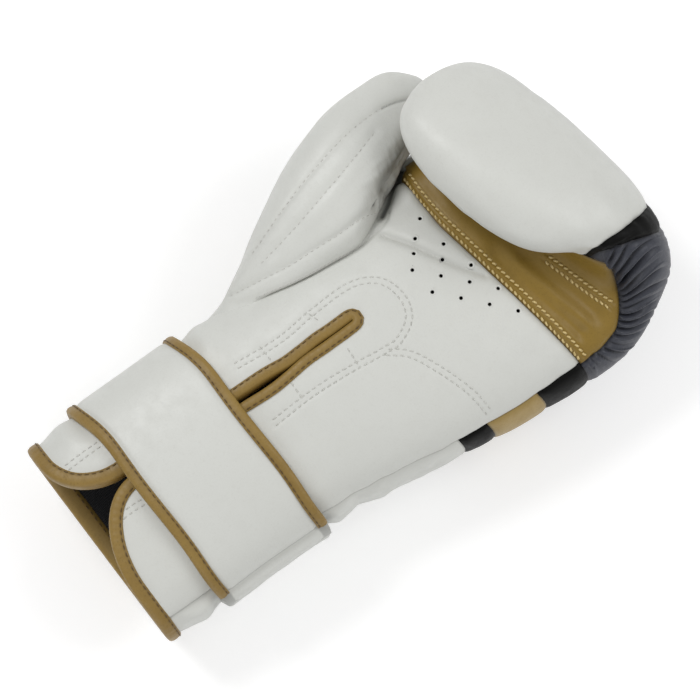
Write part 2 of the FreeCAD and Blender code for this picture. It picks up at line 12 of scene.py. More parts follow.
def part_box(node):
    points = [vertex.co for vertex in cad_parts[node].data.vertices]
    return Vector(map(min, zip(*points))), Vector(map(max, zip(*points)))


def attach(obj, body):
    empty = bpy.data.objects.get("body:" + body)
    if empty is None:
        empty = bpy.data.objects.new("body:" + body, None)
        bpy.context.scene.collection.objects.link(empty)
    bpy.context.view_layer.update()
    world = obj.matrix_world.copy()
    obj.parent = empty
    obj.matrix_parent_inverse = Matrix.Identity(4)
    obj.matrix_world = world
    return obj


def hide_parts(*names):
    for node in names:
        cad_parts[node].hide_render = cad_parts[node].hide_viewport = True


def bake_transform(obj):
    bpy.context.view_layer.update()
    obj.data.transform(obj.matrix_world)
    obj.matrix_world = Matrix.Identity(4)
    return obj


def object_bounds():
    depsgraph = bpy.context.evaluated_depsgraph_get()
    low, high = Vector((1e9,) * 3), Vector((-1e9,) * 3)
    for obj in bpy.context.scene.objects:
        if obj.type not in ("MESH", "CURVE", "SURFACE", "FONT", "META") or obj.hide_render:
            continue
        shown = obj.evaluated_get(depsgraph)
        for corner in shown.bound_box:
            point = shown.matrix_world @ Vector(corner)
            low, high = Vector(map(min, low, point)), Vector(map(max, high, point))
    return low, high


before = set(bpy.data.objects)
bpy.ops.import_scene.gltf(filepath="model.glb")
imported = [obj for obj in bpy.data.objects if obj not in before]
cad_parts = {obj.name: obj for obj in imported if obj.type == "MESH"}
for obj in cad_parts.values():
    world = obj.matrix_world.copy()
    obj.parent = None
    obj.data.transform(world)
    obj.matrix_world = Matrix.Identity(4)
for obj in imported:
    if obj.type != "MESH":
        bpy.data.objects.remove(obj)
cad_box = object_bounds()
SCENE = bpy.context.scene

# ---------------------------------------------------------------- sizes shared with the solids
# cuff, wrist and palm: reach to the thumb and little-finger sides, underside and palm heights
CUFF = dict(thumb=57.0, little=56.0, low=6.6, high=70.5)
WRIST = dict(y=114.0, thumb=53.0, little=59.0, low=7.4, high=80.0)
PALM = dict(y=172.0, thumb=49.0, little=73.0, low=1.0, high=82.5)
STRAP_NIP, STRAP_CROWN = 2.5, 1.6
# the fist curls about a fold axis that leans towards the thumb
FOLD_Y, FOLD_Z, FOLD_RADIUS, FIST_LEAN = 243.0, 86.0, 6.0, 9.0
FIST_THUMB, FIST_LITTLE, FIST_DEPTH, FIST_TOP = 59.0, 81.5, 58.0, 39.5
ROLL_THUMB, ROLL_LITTLE, ROLL_OVERHANG = 74.0, 33.0, 22.0
# walls between the outside and the hand's room
CUFF_WALL, PALM_WALL, SIDE_WALL, WRIST_BACK = 8.0, 12.0, 15.0, 19.0
BACK_WALL, FRONT_WALL, ROLL_WALL = 36.0, 19.0, 12.0
# thumb, and its stall inside
THUMB_LINE = ((-44, 104, 50), (-52, 140, 60), (-59, 178, 66.5), (-69, 208, 68.5), (-78, 236, 69))
THUMB_HALVES = (10.0, 19.0, 28.5, 28.0, 20.0)
THUMB_NOSE, THUMB_HEIGHT = 20.5, 0.88
STALL_START = ((-20, 98, 48), (-38, 124, 54))
STALL_HALVES, STALL_HEIGHT, STALL_NOSE = (13.5,) * 5 + (10.5,), 0.95, 8.0
# palm slit with the two scoops of the cuff mouth, and the closure strap
SCOOP_THUMB_X, SCOOP_LITTLE_X = -45.0, 32.0
STRAP_FRONT, STRAP_REAR, STRAP_SEAT, STRAP_THICK = 90.5, 30.0, 1.3, 3.8
STRAP_ROOT_Z, STRAP_FOLD_Z, STRAP_TAIL_X, HOOK_PILE = 52.0, 44.0, 16.0, 1.1
# seams between the panels
SEAM_Z, SEAM_THUMB_Z, KNUCKLE_SETBACK = 61.0, 36.0, 23.2
STRIPE_LITTLE_Y, STRIPE_THUMB_Y, STRIPE_EDGE, STRIPE_GOLD = 166.0, 118.0, 14.5, 26.5
GRIP_X, GRIP_FRONT, GRIP_CORNER, GRIP_LOW, GRIP_TOP = 73.0, 13.8, 28.0, 62.0, 94.0
ROLL_SEAM_X, ROLL_SEAM_TILT, FIST_BAND = 33.0, 28.0, 13.0
# vent holes: where each row starts and how many it has, the step between two holes
VENTS = ((4.0, 194.0, 4), (-10.0, 193.0, 4), (-16.0, 198.5, 3), (-21.5, 203.5, 2), (-28.0, 211.5, 1))
VENT_STEP, VENT_RADIUS = (10.3, 9.0), 1.5

# ---------------------------------------------------------------- sizes that only this script has
TAPE = 4.9  # what shows of a binding tape beside the edge that it binds
TAPE_STITCH = 3.9  # the tape's stitches, from that edge
EDGE_TRIM = 0.8  # how far the leather stops short of the cuff mouth, under the tape
EDGE_GAP = 1.2  # and of the palm slit and scoops
LINING_TRIM = 0.6
NEAR_EDGE_RISE = 0.25  # the most that relief lifts the leather at a bound edge
DOWN_FROM = 140.0  # a height above the whole glove
ROW_HALF = 1.5  # half the distance between the two rows of a double seam
V_LENGTH = 19.0  # millimetres round the cuff for one step of v
POINTS_ROUND = 20  # control points in a ring
NO_SEAM = 60.0  # a distance that stands for no seam near

# where the glove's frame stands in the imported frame, read from solids whose faces are known
root_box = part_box("strap_root")
patch_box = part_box("loop_patch")
known = np.array([patch_box[1][0], root_box[0][1], root_box[1][2]])
SHIFT = known * 1000 - [STRAP_TAIL_X + 7.0, STRAP_REAR, STRAP_ROOT_Z]

UP = np.array([0.0, 0.0, 1.0])
LEAN = math.radians(FIST_LEAN)
SIDE = np.array([math.cos(LEAN), math.sin(LEAN), 0.0])
AHEAD = np.array([-math.sin(LEAN), math.cos(LEAN), 0.0])
FOLD = np.array([0.0, FOLD_Y, FOLD_Z])
KNUCKLE = FOLD - AHEAD * KNUCKLE_SETBACK


def mix(a, b, t):
    return a + (b - a) * t


def row_frame(p):
    """Glove millimetres to packed metres."""
    return (np.asarray(p, float) + SHIFT) / 1000.0


def unit(v):
    v = np.asarray(v, float)
    return v / (np.linalg.norm(v, axis=-1, keepdims=True) + 1e-12)


def smooth(a, b, x):
    """Goes softly from 0 at a to 1 at b."""
    t = np.clip((x - a) / (b - a), 0, 1)
    return t * t * (3 - 2 * t)


def bell(d, width, power=2):
    """1 where d is 0, gone well past the width."""
    return np.exp(-((d / width) ** power))


def plateau(x, a, b, c, d):
    """Rises from a to b, stays at 1 and falls from c to d."""
    return smooth(a, b, x) * (1 - smooth(c, d, x))


def quarter_round(distance, radius):
    """The height of a rounded edge, 0 to 1, at a distance in from it."""
    return np.sqrt(1 - (1 - np.clip(distance / radius, 0, 1)) ** 2)


# ---------------------------------------------------------------- the tubes that the solids are made of
def ring(origin, across, inward, thumb, little, inner, outer, flat):
    """A rounded section with its own reach to each of four sides."""
    a = np.arange(POINTS_ROUND) * 2 * math.pi / POINTS_ROUND
    c, s = np.cos(a), np.sin(a)
    side = np.sign(c) * np.abs(c) ** (2 / 2.4) * np.where(c > 0, little, thumb)
    rise = np.where(s > 0, np.abs(s) ** (2 / flat) * inner, -np.abs(s) ** (2 / 2.3) * outer)
    return origin + side[:, None] * across + rise[:, None] * inward


class Station:
    """A section of the glove: the outside and, inside its walls, the hand's room."""

    def __init__(self, origin, across, inward, reach, walls, flat=2.6):
        self.o, self.a, self.i = np.asarray(origin, float), across, inward
        self.reach, self.walls, self.flat = reach, walls, flat

    def ring(self, grow):
        t, l, i, o = self.reach
        return ring(self.o, self.a, self.i, t + grow, l + grow, i + grow, o + grow, self.flat)

    def room(self):
        t, l, i, o = self.reach
        side, inner, outer = self.walls
        return ring(self.o, self.a, self.i, t - side, l - side, i - inner, o - outer, self.flat)


def hand_station(y, thumb, little, low, high, back, lean=0.0):
    """A section across the hand. back is the wall behind the hand, lean turns the section, in degrees."""
    middle = mix(low, high, 0.52)
    a = math.radians(lean)
    share = min(1.0, max(0.0, y / PALM["y"]))
    walls = (mix(CUFF_WALL, SIDE_WALL, share), mix(CUFF_WALL, PALM_WALL, share), back)
    across = np.array([math.cos(a), math.sin(a), 0.0])
    return Station((0, y, middle), across, UP, (thumb, little, high - middle, middle - low), walls, 3.0)


def hand_stations():
    """Sections from behind the cuff mouth to the knuckles."""
    w, p = WRIST, PALM
    out = []
    for share, bulge in ((-0.2, 0.0), (-0.04, 0.0), (0.12, 0.3), (0.3, 0.9), (0.55, 1.0), (0.8, 0.6)):
        thumb = mix(CUFF["thumb"], w["thumb"], share)
        little = mix(CUFF["little"], w["little"], share) - STRAP_NIP * bulge
        high = mix(CUFF["high"], w["high"], share) + STRAP_CROWN * bulge
        back = mix(CUFF_WALL, WRIST_BACK, max(0.0, share))
        out.append(hand_station(w["y"] * share, thumb, little, CUFF["low"], high, back))
    knuckle_y, inner_z = FOLD_Y - KNUCKLE_SETBACK, FOLD_Z - FOLD_RADIUS
    shares = dict(y=0.5, thumb=0.3, little=0.55, low=0.6, high=0.7)
    between = [mix(w[key], p[key], share) for key, share in shares.items()]
    before = [mix(p["y"], knuckle_y, 0.52), mix(p["thumb"], FIST_THUMB, 0.5), mix(p["little"], FIST_LITTLE, 0.55)]
    knuckle = [knuckle_y, mix(p["thumb"], FIST_THUMB, 0.95), mix(p["little"], FIST_LITTLE, 0.9)]
    return out + [
        hand_station(*w.values(), WRIST_BACK),
        hand_station(*between, mix(WRIST_BACK, BACK_WALL, 0.5), 1.0),
        hand_station(*p.values(), mix(WRIST_BACK, BACK_WALL, 0.85), 0.33 * FIST_LEAN),
        hand_station(*before, 0.2 * p["low"], mix(p["high"], inner_z, 0.5), BACK_WALL, 0.67 * FIST_LEAN),
        hand_station(*knuckle, 0.0, inner_z, BACK_WALL, 0.95 * FIST_LEAN),
    ]


def fist_stations(last=180.0):
    """Sections round the fold axis, up to a last turn in degrees."""
    deep, top, wide, narrow, near, far = FIST_DEPTH, FIST_TOP, FIST_LITTLE, ROLL_LITTLE, FIST_THUMB, ROLL_THUMB
    table = (
        (0, near, wide, 0.48 * FOLD_Z, FOLD_Z),
        (25, near, wide - 3, 0.45 * FOLD_Z, 0.97 * FOLD_Z),
        (50, near + 2, wide - 7, 0.68 * deep, 1.25 * deep),
        (75, mix(near, far, 0.45), mix(wide, narrow, 0.22), 0.6 * deep, 1.04 * deep),
        (100, mix(near, far, 0.8), mix(wide, narrow, 0.34), 0.56 * deep, 0.97 * deep),
        (125, far - 1, mix(wide, narrow, 0.6), 0.7 * top, 1.25 * top),
        (150, far, mix(wide, narrow, 0.85), 0.6 * top, 1.06 * top),
        (176, far - 2, narrow, 0.56 * top, top),
    )
    out = []
    for turn, thumb, little, centre, outer in (row for row in table if row[0] <= last):
        a = math.radians(turn)
        inward = UP * math.cos(a) - AHEAD * math.sin(a)
        late = max(0.0, turn / 90.0 - 1.0)
        walls = (SIDE_WALL, PALM_WALL, mix(mix(BACK_WALL, FRONT_WALL, min(1.0, turn / 90.0)), ROLL_WALL, late))
        reach = (thumb, little, centre - FOLD_RADIUS, outer - centre)
        out.append(Station(FOLD - inward * centre, SIDE, inward, reach, walls))
    return out


def roll_rings(grow):
    """The rounded end of the finger roll, which stands back over the palm."""
    middle, half = 0.5 * (FOLD_RADIUS + FIST_TOP), 0.5 * (FIST_TOP - FOLD_RADIUS)
    left, right = -(ROLL_THUMB - 3), ROLL_LITTLE - 3
    centre, spread = 0.5 * (left + right), 0.5 * (right - left)
    out = []
    for share in (0.35, 0.7, 0.9, 0.985, 1.0):
        size = math.sqrt(max(0.02, 1 - share**2.6))
        origin = FOLD + UP * middle - AHEAD * (ROLL_OVERHANG + grow) * share + SIDE * centre
        wide, high = (spread + grow) * size, (half + grow) * size
        out.append(ring(origin, SIDE, -UP, (spread + grow) * mix(size, 1, 0.25), wide, high, high, 2.3))
    return out


def finger_rings(line, halves, height, nose):
    """Sections of a finger along a line, with a round nose."""
    pts = [np.array(p, float) for p in line]
    last = len(pts) - 1
    out = []
    for k, (point, half) in enumerate(zip(pts, halves)):
        heading = unit(pts[min(k + 1, last)] - pts[max(k - 1, 0)])
        across = unit(np.cross(heading, UP))
        upward = np.cross(across, heading)
        wide, high = half, half * height
        out.append(ring(point, across, upward, wide, wide, high, high, 2.6))
    for share, size in ((0.4, 0.9), (0.75, 0.66), (0.95, 0.3), (1.0, 0.1)):
        origin = pts[-1] + heading * nose * share
        out.append(ring(origin, across, upward, wide * size, wide * size, high * size, high * size, 2.6))
    return out


class Tube:
    """Evaluates the smooth skin over a net of rings. u runs along it, v round it from 0 to POINTS_ROUND."""

    def __init__(self, rings):
        self.net = np.array(rings)
        self.spans = len(rings) - 3
        self.knots = np.array([0.0] * 3 + list(range(self.spans + 1)) + [self.spans] * 3, float)

    def basis_u(self, u):
        u = np.clip(np.asarray(u, float), 0, self.spans - 1e-9)
        k, n = self.knots, self.spans + 3
        b = ((u[:, None] >= k[None, :-1]) & (u[:, None] < k[None, 1:])).astype(float)
        for d in range(1, 4):
            m = len(k) - 1 - d
            out = np.zeros((len(u), m))
            for i in range(m):
                if k[i + d] > k[i]:
                    out[:, i] += (u - k[i]) / (k[i + d] - k[i]) * b[:, i]
                if k[i + d + 1] > k[i + 1]:
                    out[:, i] += (k[i + d + 1] - u) / (k[i + d + 1] - k[i + 1]) * b[:, i + 1]
            b = out
        return b[:, :n]

    @staticmethod
    def basis_v(v):
        v = np.asarray(v, float) % POINTS_ROUND
        k = np.floor(v).astype(int)
        t = v - k
        b = np.zeros((len(v), POINTS_ROUND))
        w = ((1 - t) ** 3 / 6, (3 * t**3 - 6 * t**2 + 4) / 6, (-3 * t**3 + 3 * t**2 + 3 * t + 1) / 6, t**3 / 6)
        for j in range(4):
            np.add.at(b, (np.arange(len(v)), (k - 1 + j) % POINTS_ROUND), w[j])
        return b

    def grid(self, u, v):
        return np.einsum("ui,ijc,vj->uvc", self.basis_u(u), self.net, self.basis_v(v))

    def at(self, u, v):
        return np.einsum("ni,ijc,nj->nc", self.basis_u(u), self.net, self.basis_v(v))

    def rows(self, pitch):
        """Stations along u, about pitch apart on the longest line."""
        u = np.linspace(0, self.spans, self.spans * 40 + 1)
        lines = self.grid(u, np.array([0.0, 5.0, 10.0, 15.0]))
        lengths = np.linalg.norm(np.diff(lines, axis=0), axis=2).max(1)
        total = np.concatenate([[0], np.cumsum(lengths)])
        count = int(total[-1] / pitch) + 1
        return np.interp(np.linspace(0, total[-1], count), total, u)


SHELL = hand_stations() + fist_stations()


def shell_tube(grow):
    return Tube([s.ring(grow) for s in SHELL] + roll_rings(grow))


def room_tube():
    return Tube([s.room() for s in hand_stations() + fist_stations(150.0)])


# ---------------------------------------------------------------- mesh helpers
def make_object(name, verts, faces):
    mesh = bpy.data.meshes.new(name)
    mesh.from_pydata([tuple(p) for p in row_frame(verts).tolist()], [], faces)
    mesh.validate()
    mesh.polygons.foreach_set("use_smooth", [True] * len(mesh.polygons))
    mesh.update()
    obj = bpy.data.objects.new(name, mesh)
    SCENE.collection.objects.link(obj)
    return obj


def curve_through(points, pitch=0.6):
    """A smooth line through a few points, in even steps."""
    p = np.array(points, float)
    q = np.vstack([2 * p[0] - p[1], p, 2 * p[-1] - p[-2]])
    out = []
    for k in range(1, len(q) - 2):
        a, b, c, d = q[k - 1], q[k], q[k + 1], q[k + 2]
        for t in np.linspace(0, 1, 24, endpoint=False):
            out.append(
                0.5 * (2 * b + (c - a) * t + (2 * a - 5 * b + 4 * c - d) * t * t + (3 * b - a - 3 * c + d) * t**3)
            )
    out.append(p[-1])
    return even(np.array(out), pitch)


def even(line, pitch):
    length = np.concatenate([[0], np.cumsum(np.linalg.norm(np.diff(line, axis=0), axis=1))])
    count = max(2, int(round(length[-1] / pitch)) + 1)
    at = np.linspace(0, length[-1], count)
    return np.stack([np.interp(at, length, line[:, k]) for k in range(line.shape[1])], -1)


def aside(line, distance):
    """The same plan line, moved to its left by distance."""
    t = unit(np.gradient(line, axis=0))
    return line + np.stack([-t[:, 1], t[:, 0]], -1) * distance


def plan_distance(points, line, reach=14.0):
    """Distance in plan from each point to a line, up to reach, and the place along it."""
    out = np.full(len(points), reach)
    along = np.zeros(len(points))
    lo, hi = line.min(0) - reach, line.max(0) + reach
    near = np.where((points[:, :2] > lo).all(1) & (points[:, :2] < hi).all(1))[0]
    for start in range(0, len(near), 4000):
        block = near[start : start + 4000]
        d = np.linalg.norm(points[block, None, :2] - line[None], axis=2)
        k = d.argmin(1)
        out[block] = np.minimum(reach, d[np.arange(len(block)), k])
        along[block] = k
    return out, along


def noise_field(points, scale, seed=0.0, stretch=(1, 1, 1)):
    s = np.array(stretch, float) / scale
    return np.array([noise.noise(Vector((p * s + seed).tolist())) for p in points])


def split(verts, faces, field, near=0.1):
    """Splits the faces that the line field = 0 crosses. A face is a row of vertex numbers, filled up with -1."""
    f = np.where(np.abs(field) < near, 0.0, field)
    valid = faces >= 0
    values = f[faces]
    low = np.where(valid, values, 9e9).min(1)
    high = np.where(valid, values, -9e9).max(1)
    crossed = (low < 0) & (high > 0)
    extra, seen, out = [], {}, []
    for row in faces[crossed].tolist():
        loop = [k for k in row if k >= 0]
        over, under = [], []
        for i, k in enumerate(loop):
            n = loop[(i + 1) % len(loop)]
            if f[k] >= 0:
                over.append(k)
            if f[k] <= 0:
                under.append(k)
            if f[k] * f[n] < 0:
                key = (min(k, n), max(k, n))
                if key not in seen:
                    t = f[key[0]] / (f[key[0]] - f[key[1]])
                    seen[key] = len(verts) + len(extra)
                    extra.append(verts[key[0]] + t * (verts[key[1]] - verts[key[0]]))
                over.append(seen[key])
                under.append(seen[key])
        out += [side for side in (over, under) if len(side) > 2]
    if not out:
        return verts, faces
    width = max(faces.shape[1], max(len(side) for side in out))
    table = np.full((len(out), width), -1)
    for row, side in zip(table, out):
        row[: len(side)] = side
    kept = np.full(((~crossed).sum(), width), -1)
    kept[:, : faces.shape[1]] = faces[~crossed]
    return np.vstack([verts, np.array(extra).reshape(-1, verts.shape[1])]), np.vstack([kept, table])


def tuples(faces):
    return [tuple(k for k in row if k >= 0) for row in faces.tolist()]


def tree_of(verts, faces):
    return BVHTree.FromPolygons([tuple(v) for v in verts.tolist()], tuples(faces))


def depth_in(points, tree):
    """Signed distance to a skin, above zero inside it."""
    out = np.zeros(len(points))
    for k, p in enumerate(points.tolist()):
        hit, normal, _, distance = tree.find_nearest(Vector(p))
        out[k] = distance * (1 if (Vector(p) - hit).dot(normal) < 0 else -1)
    return out


def middles(verts, faces):
    valid = (faces >= 0)[..., None]
    return (verts[faces] * valid).sum(1) / valid.sum(1)


def skin_normals(verts, faces):
    out = np.zeros_like(verts)
    p = verts[faces[:, 0]]
    for k in range(1, faces.shape[1] - 1):
        ok = faces[:, k + 1] >= 0
        n = np.cross(verts[faces[ok, k]] - p[ok], verts[faces[ok, k + 1]] - p[ok])
        for column in (0, k, k + 1):
            np.add.at(out, faces[ok, column], n)
    return unit(out)


def take(verts, faces, mask, extras=()):
    """The faces in the mask, the vertices that they use and the same rows of the extra columns."""
    some = faces[mask]
    used = np.unique(some[some >= 0])
    index = np.full(len(verts) + 1, -1)
    index[used] = np.arange(len(used))
    some = np.where(some >= 0, index[some], -1)
    return verts[used], tuples(some), [e[used] for e in extras]


def add_column(obj, name, values):
    attribute = obj.data.attributes.new(name, "FLOAT", "POINT")
    attribute.data.foreach_set("value", np.asarray(values, np.float32))


def grid_faces(rows, cols):
    """Quads over a grid whose rows close on themselves."""
    r, c = np.meshgrid(np.arange(rows - 1), np.arange(cols), indexing="ij")
    n = (c + 1) % cols
    return np.stack([r * cols + c, (r + 1) * cols + c, (r + 1) * cols + n, r * cols + n], -1).reshape(-1, 4)


def fan(loop, centre):
    """Triangles from a closed loop of vertices to the vertex in its centre."""
    return np.stack([np.roll(loop, -1), loop, np.full(len(loop), centre), np.full(len(loop), -1)], -1)


def capped(verts, faces, cols):
    """The tube with a fan over its last row."""
    tip = np.arange(len(verts) - cols, len(verts))
    return np.vstack([verts, verts[tip].mean(0)]), np.vstack([faces, fan(tip, len(verts))])


# ---------------------------------------------------------------- seams and panels of the shell
SEAM_AT = np.array([WRIST["little"], 0.0, SEAM_Z])
seam_run = SEAM_AT - np.array([-WRIST["thumb"], 0.0, SEAM_THUMB_Z])
SEAM_N = unit([-seam_run[2], 0.0, seam_run[0]])
stripe_run = unit([-(PALM["little"] + PALM["thumb"]), STRIPE_THUMB_Y - STRIPE_LITTLE_Y, 0.0])
STRIPE_N = np.array([stripe_run[1], -stripe_run[0], 0.0])
STRIPE_STEPS = (0.0, STRIPE_EDGE, STRIPE_EDGE + STRIPE_GOLD)
STRIPES = [np.array([PALM["little"], STRIPE_LITTLE_Y + step, 0.0]) for step in STRIPE_STEPS]
BAND_TILT = math.radians(ROLL_SEAM_TILT)
BAND_N = np.array([math.cos(BAND_TILT), 0.0, -math.sin(BAND_TILT)])


def past_knuckle(p):
    """How far ahead of the knuckle seam a point lies; the seam bends forward at the thumb side."""
    bend = 5.5 * smooth(-14, -54, p[:, 0]) * smooth(48, 62, p[:, 2])
    return (p - KNUCKLE) @ AHEAD - bend


def past_band(p, edge):
    """How far towards the little finger a point lies from the band's first (0) or second (1) edge."""
    rise = p[:, 2] - FOLD_Z
    slope = mix(math.tan(BAND_TILT), 0.23, smooth(-4, 8, rise))
    wedge = mix(FIST_BAND, np.clip(3.0 + 0.3 * (p[:, 1] - 262.0), 2.5, FIST_BAND), smooth(0, 8, rise))
    return (p[:, 0] - ROLL_SEAM_X - slope * rise - edge * wedge) * BAND_N[0]


def grip_plan(p):
    """How far inside the grip panel's free edge a point is in plan, and the place along that edge."""
    x = p[:, 0]
    y = p[:, 1] - x * math.tan(LEAN)
    cx, cy = GRIP_X - GRIP_CORNER, FOLD_Y + GRIP_FRONT - GRIP_CORNER
    corner = (x > cx) & (y > cy)
    flare = 0.01 * np.maximum(0, cy - y) ** 2
    ahead = cy + GRIP_CORNER - y
    inside = np.where(corner, GRIP_CORNER - np.hypot(x - cx, y - cy), np.minimum(GRIP_X + flare - x, ahead))
    inside = inside + 0.38 * np.minimum(p[:, 2] - 66.0, 0) * smooth(15, 40, x)
    turn = np.arctan2(y - cy, x - cx)
    before = (y <= cy) & (GRIP_X - x < ahead + GRIP_CORNER)
    along = np.where(corner, GRIP_CORNER * turn, np.where(before, y - cy, GRIP_CORNER * math.pi / 2 + cx - x))
    return inside, along


def above_grip_foot(p):
    """Height over the grip panel's lower edge, which only the thumb side has."""
    return p[:, 2] - GRIP_LOW + 25.0 * smooth(0, 30, p[:, 0])


# stitched lines in plan: the palm's arch with its rungs, the sweep beside it and the rows on the grip panel
PLAN_LINES = dict(
    arch=[(-24.5, 99), (-21.5, 124), (-22.7, 145), (-22, 166), (-15, 178), (-3, 181.5)]
    + [(7, 178), (12.6, 168), (12.3, 159), (9.5, 139), (7.8, 119), (8, 97)],
    rung_a=[(-24.5, 142), (-16.5, 144)],
    rung_b=[(-26, 115), (-15.4, 115)],
    rung_c=[(0.2, 146.5), (11, 145.5)],
    rung_d=[(-3.0, 116), (8, 115.6)],
    sweep=[(13, 159), (21, 168), (35, 174.6), (50.6, 180), (64, 182)],
    grip_low=[(-50, 220.4), (-38, 219.3), (-20, 219.8), (10, 224.0), (40, 228.7), (70, 233.4)],
    grip_diag=[(22, 246.3), (31, 249), (40, 251.6), (50, 254.8), (59.5, 258.4)],
)
CUFF_ROWS = ([(-35.3, 9), (-35, 21), (-34.6, 32)], [(-0.5, 9), (-0.6, 23), (0.8, 32)])
# folds of the grip panel: line, width and depth
GRIP_FOLDS = (
    ([(17, 239.5), (31, 243), (45, 246), (57, 249.5)], 5.0, 2.1),
    ([(8, 228.5), (25, 231), (42, 234.5), (60, 239)], 3.4, 1.9),
)
GRIP_RIDGE = [(16, 234.5), (31, 237.5), (45, 240.5), (58, 244)]
CROTCH = curve_through([(-42.5, 199), (-46, 205), (-51, 212), (-54, 219), (-57, 226)])
CREASE = curve_through([(-33, 193), (-20, 200.5), (-7, 207), (3, 213), (12, 219)])
THUMB_FOLD = curve_through(
    [(-45.5, 128), (-42.8, 137), (-40.1, 146), (-37.6, 157), (-35.9, 170)]
    + [(-34.9, 180), (-35.4, 190), (-37.4, 199), (-41.8, 203.5)]
)
PLEAT_PITCH = 3.3
# swells of the little-finger side of the cuff: place along y, length and height
CUFF_PUFFS = ((20, 8.5, 3.6), (92, 3.0, -0.4), (98, 5.0, 2.2), (110, 4.5, -1.6), (120, 5.0, 0.7))
# and of its thumb side, beside the strap
THUMB_PUFFS = ((97, 6.5, 2.2), (18, 7.0, 1.8))


def humps(y, table):
    return sum(height * bell(y - place, length) for place, length, height in table)


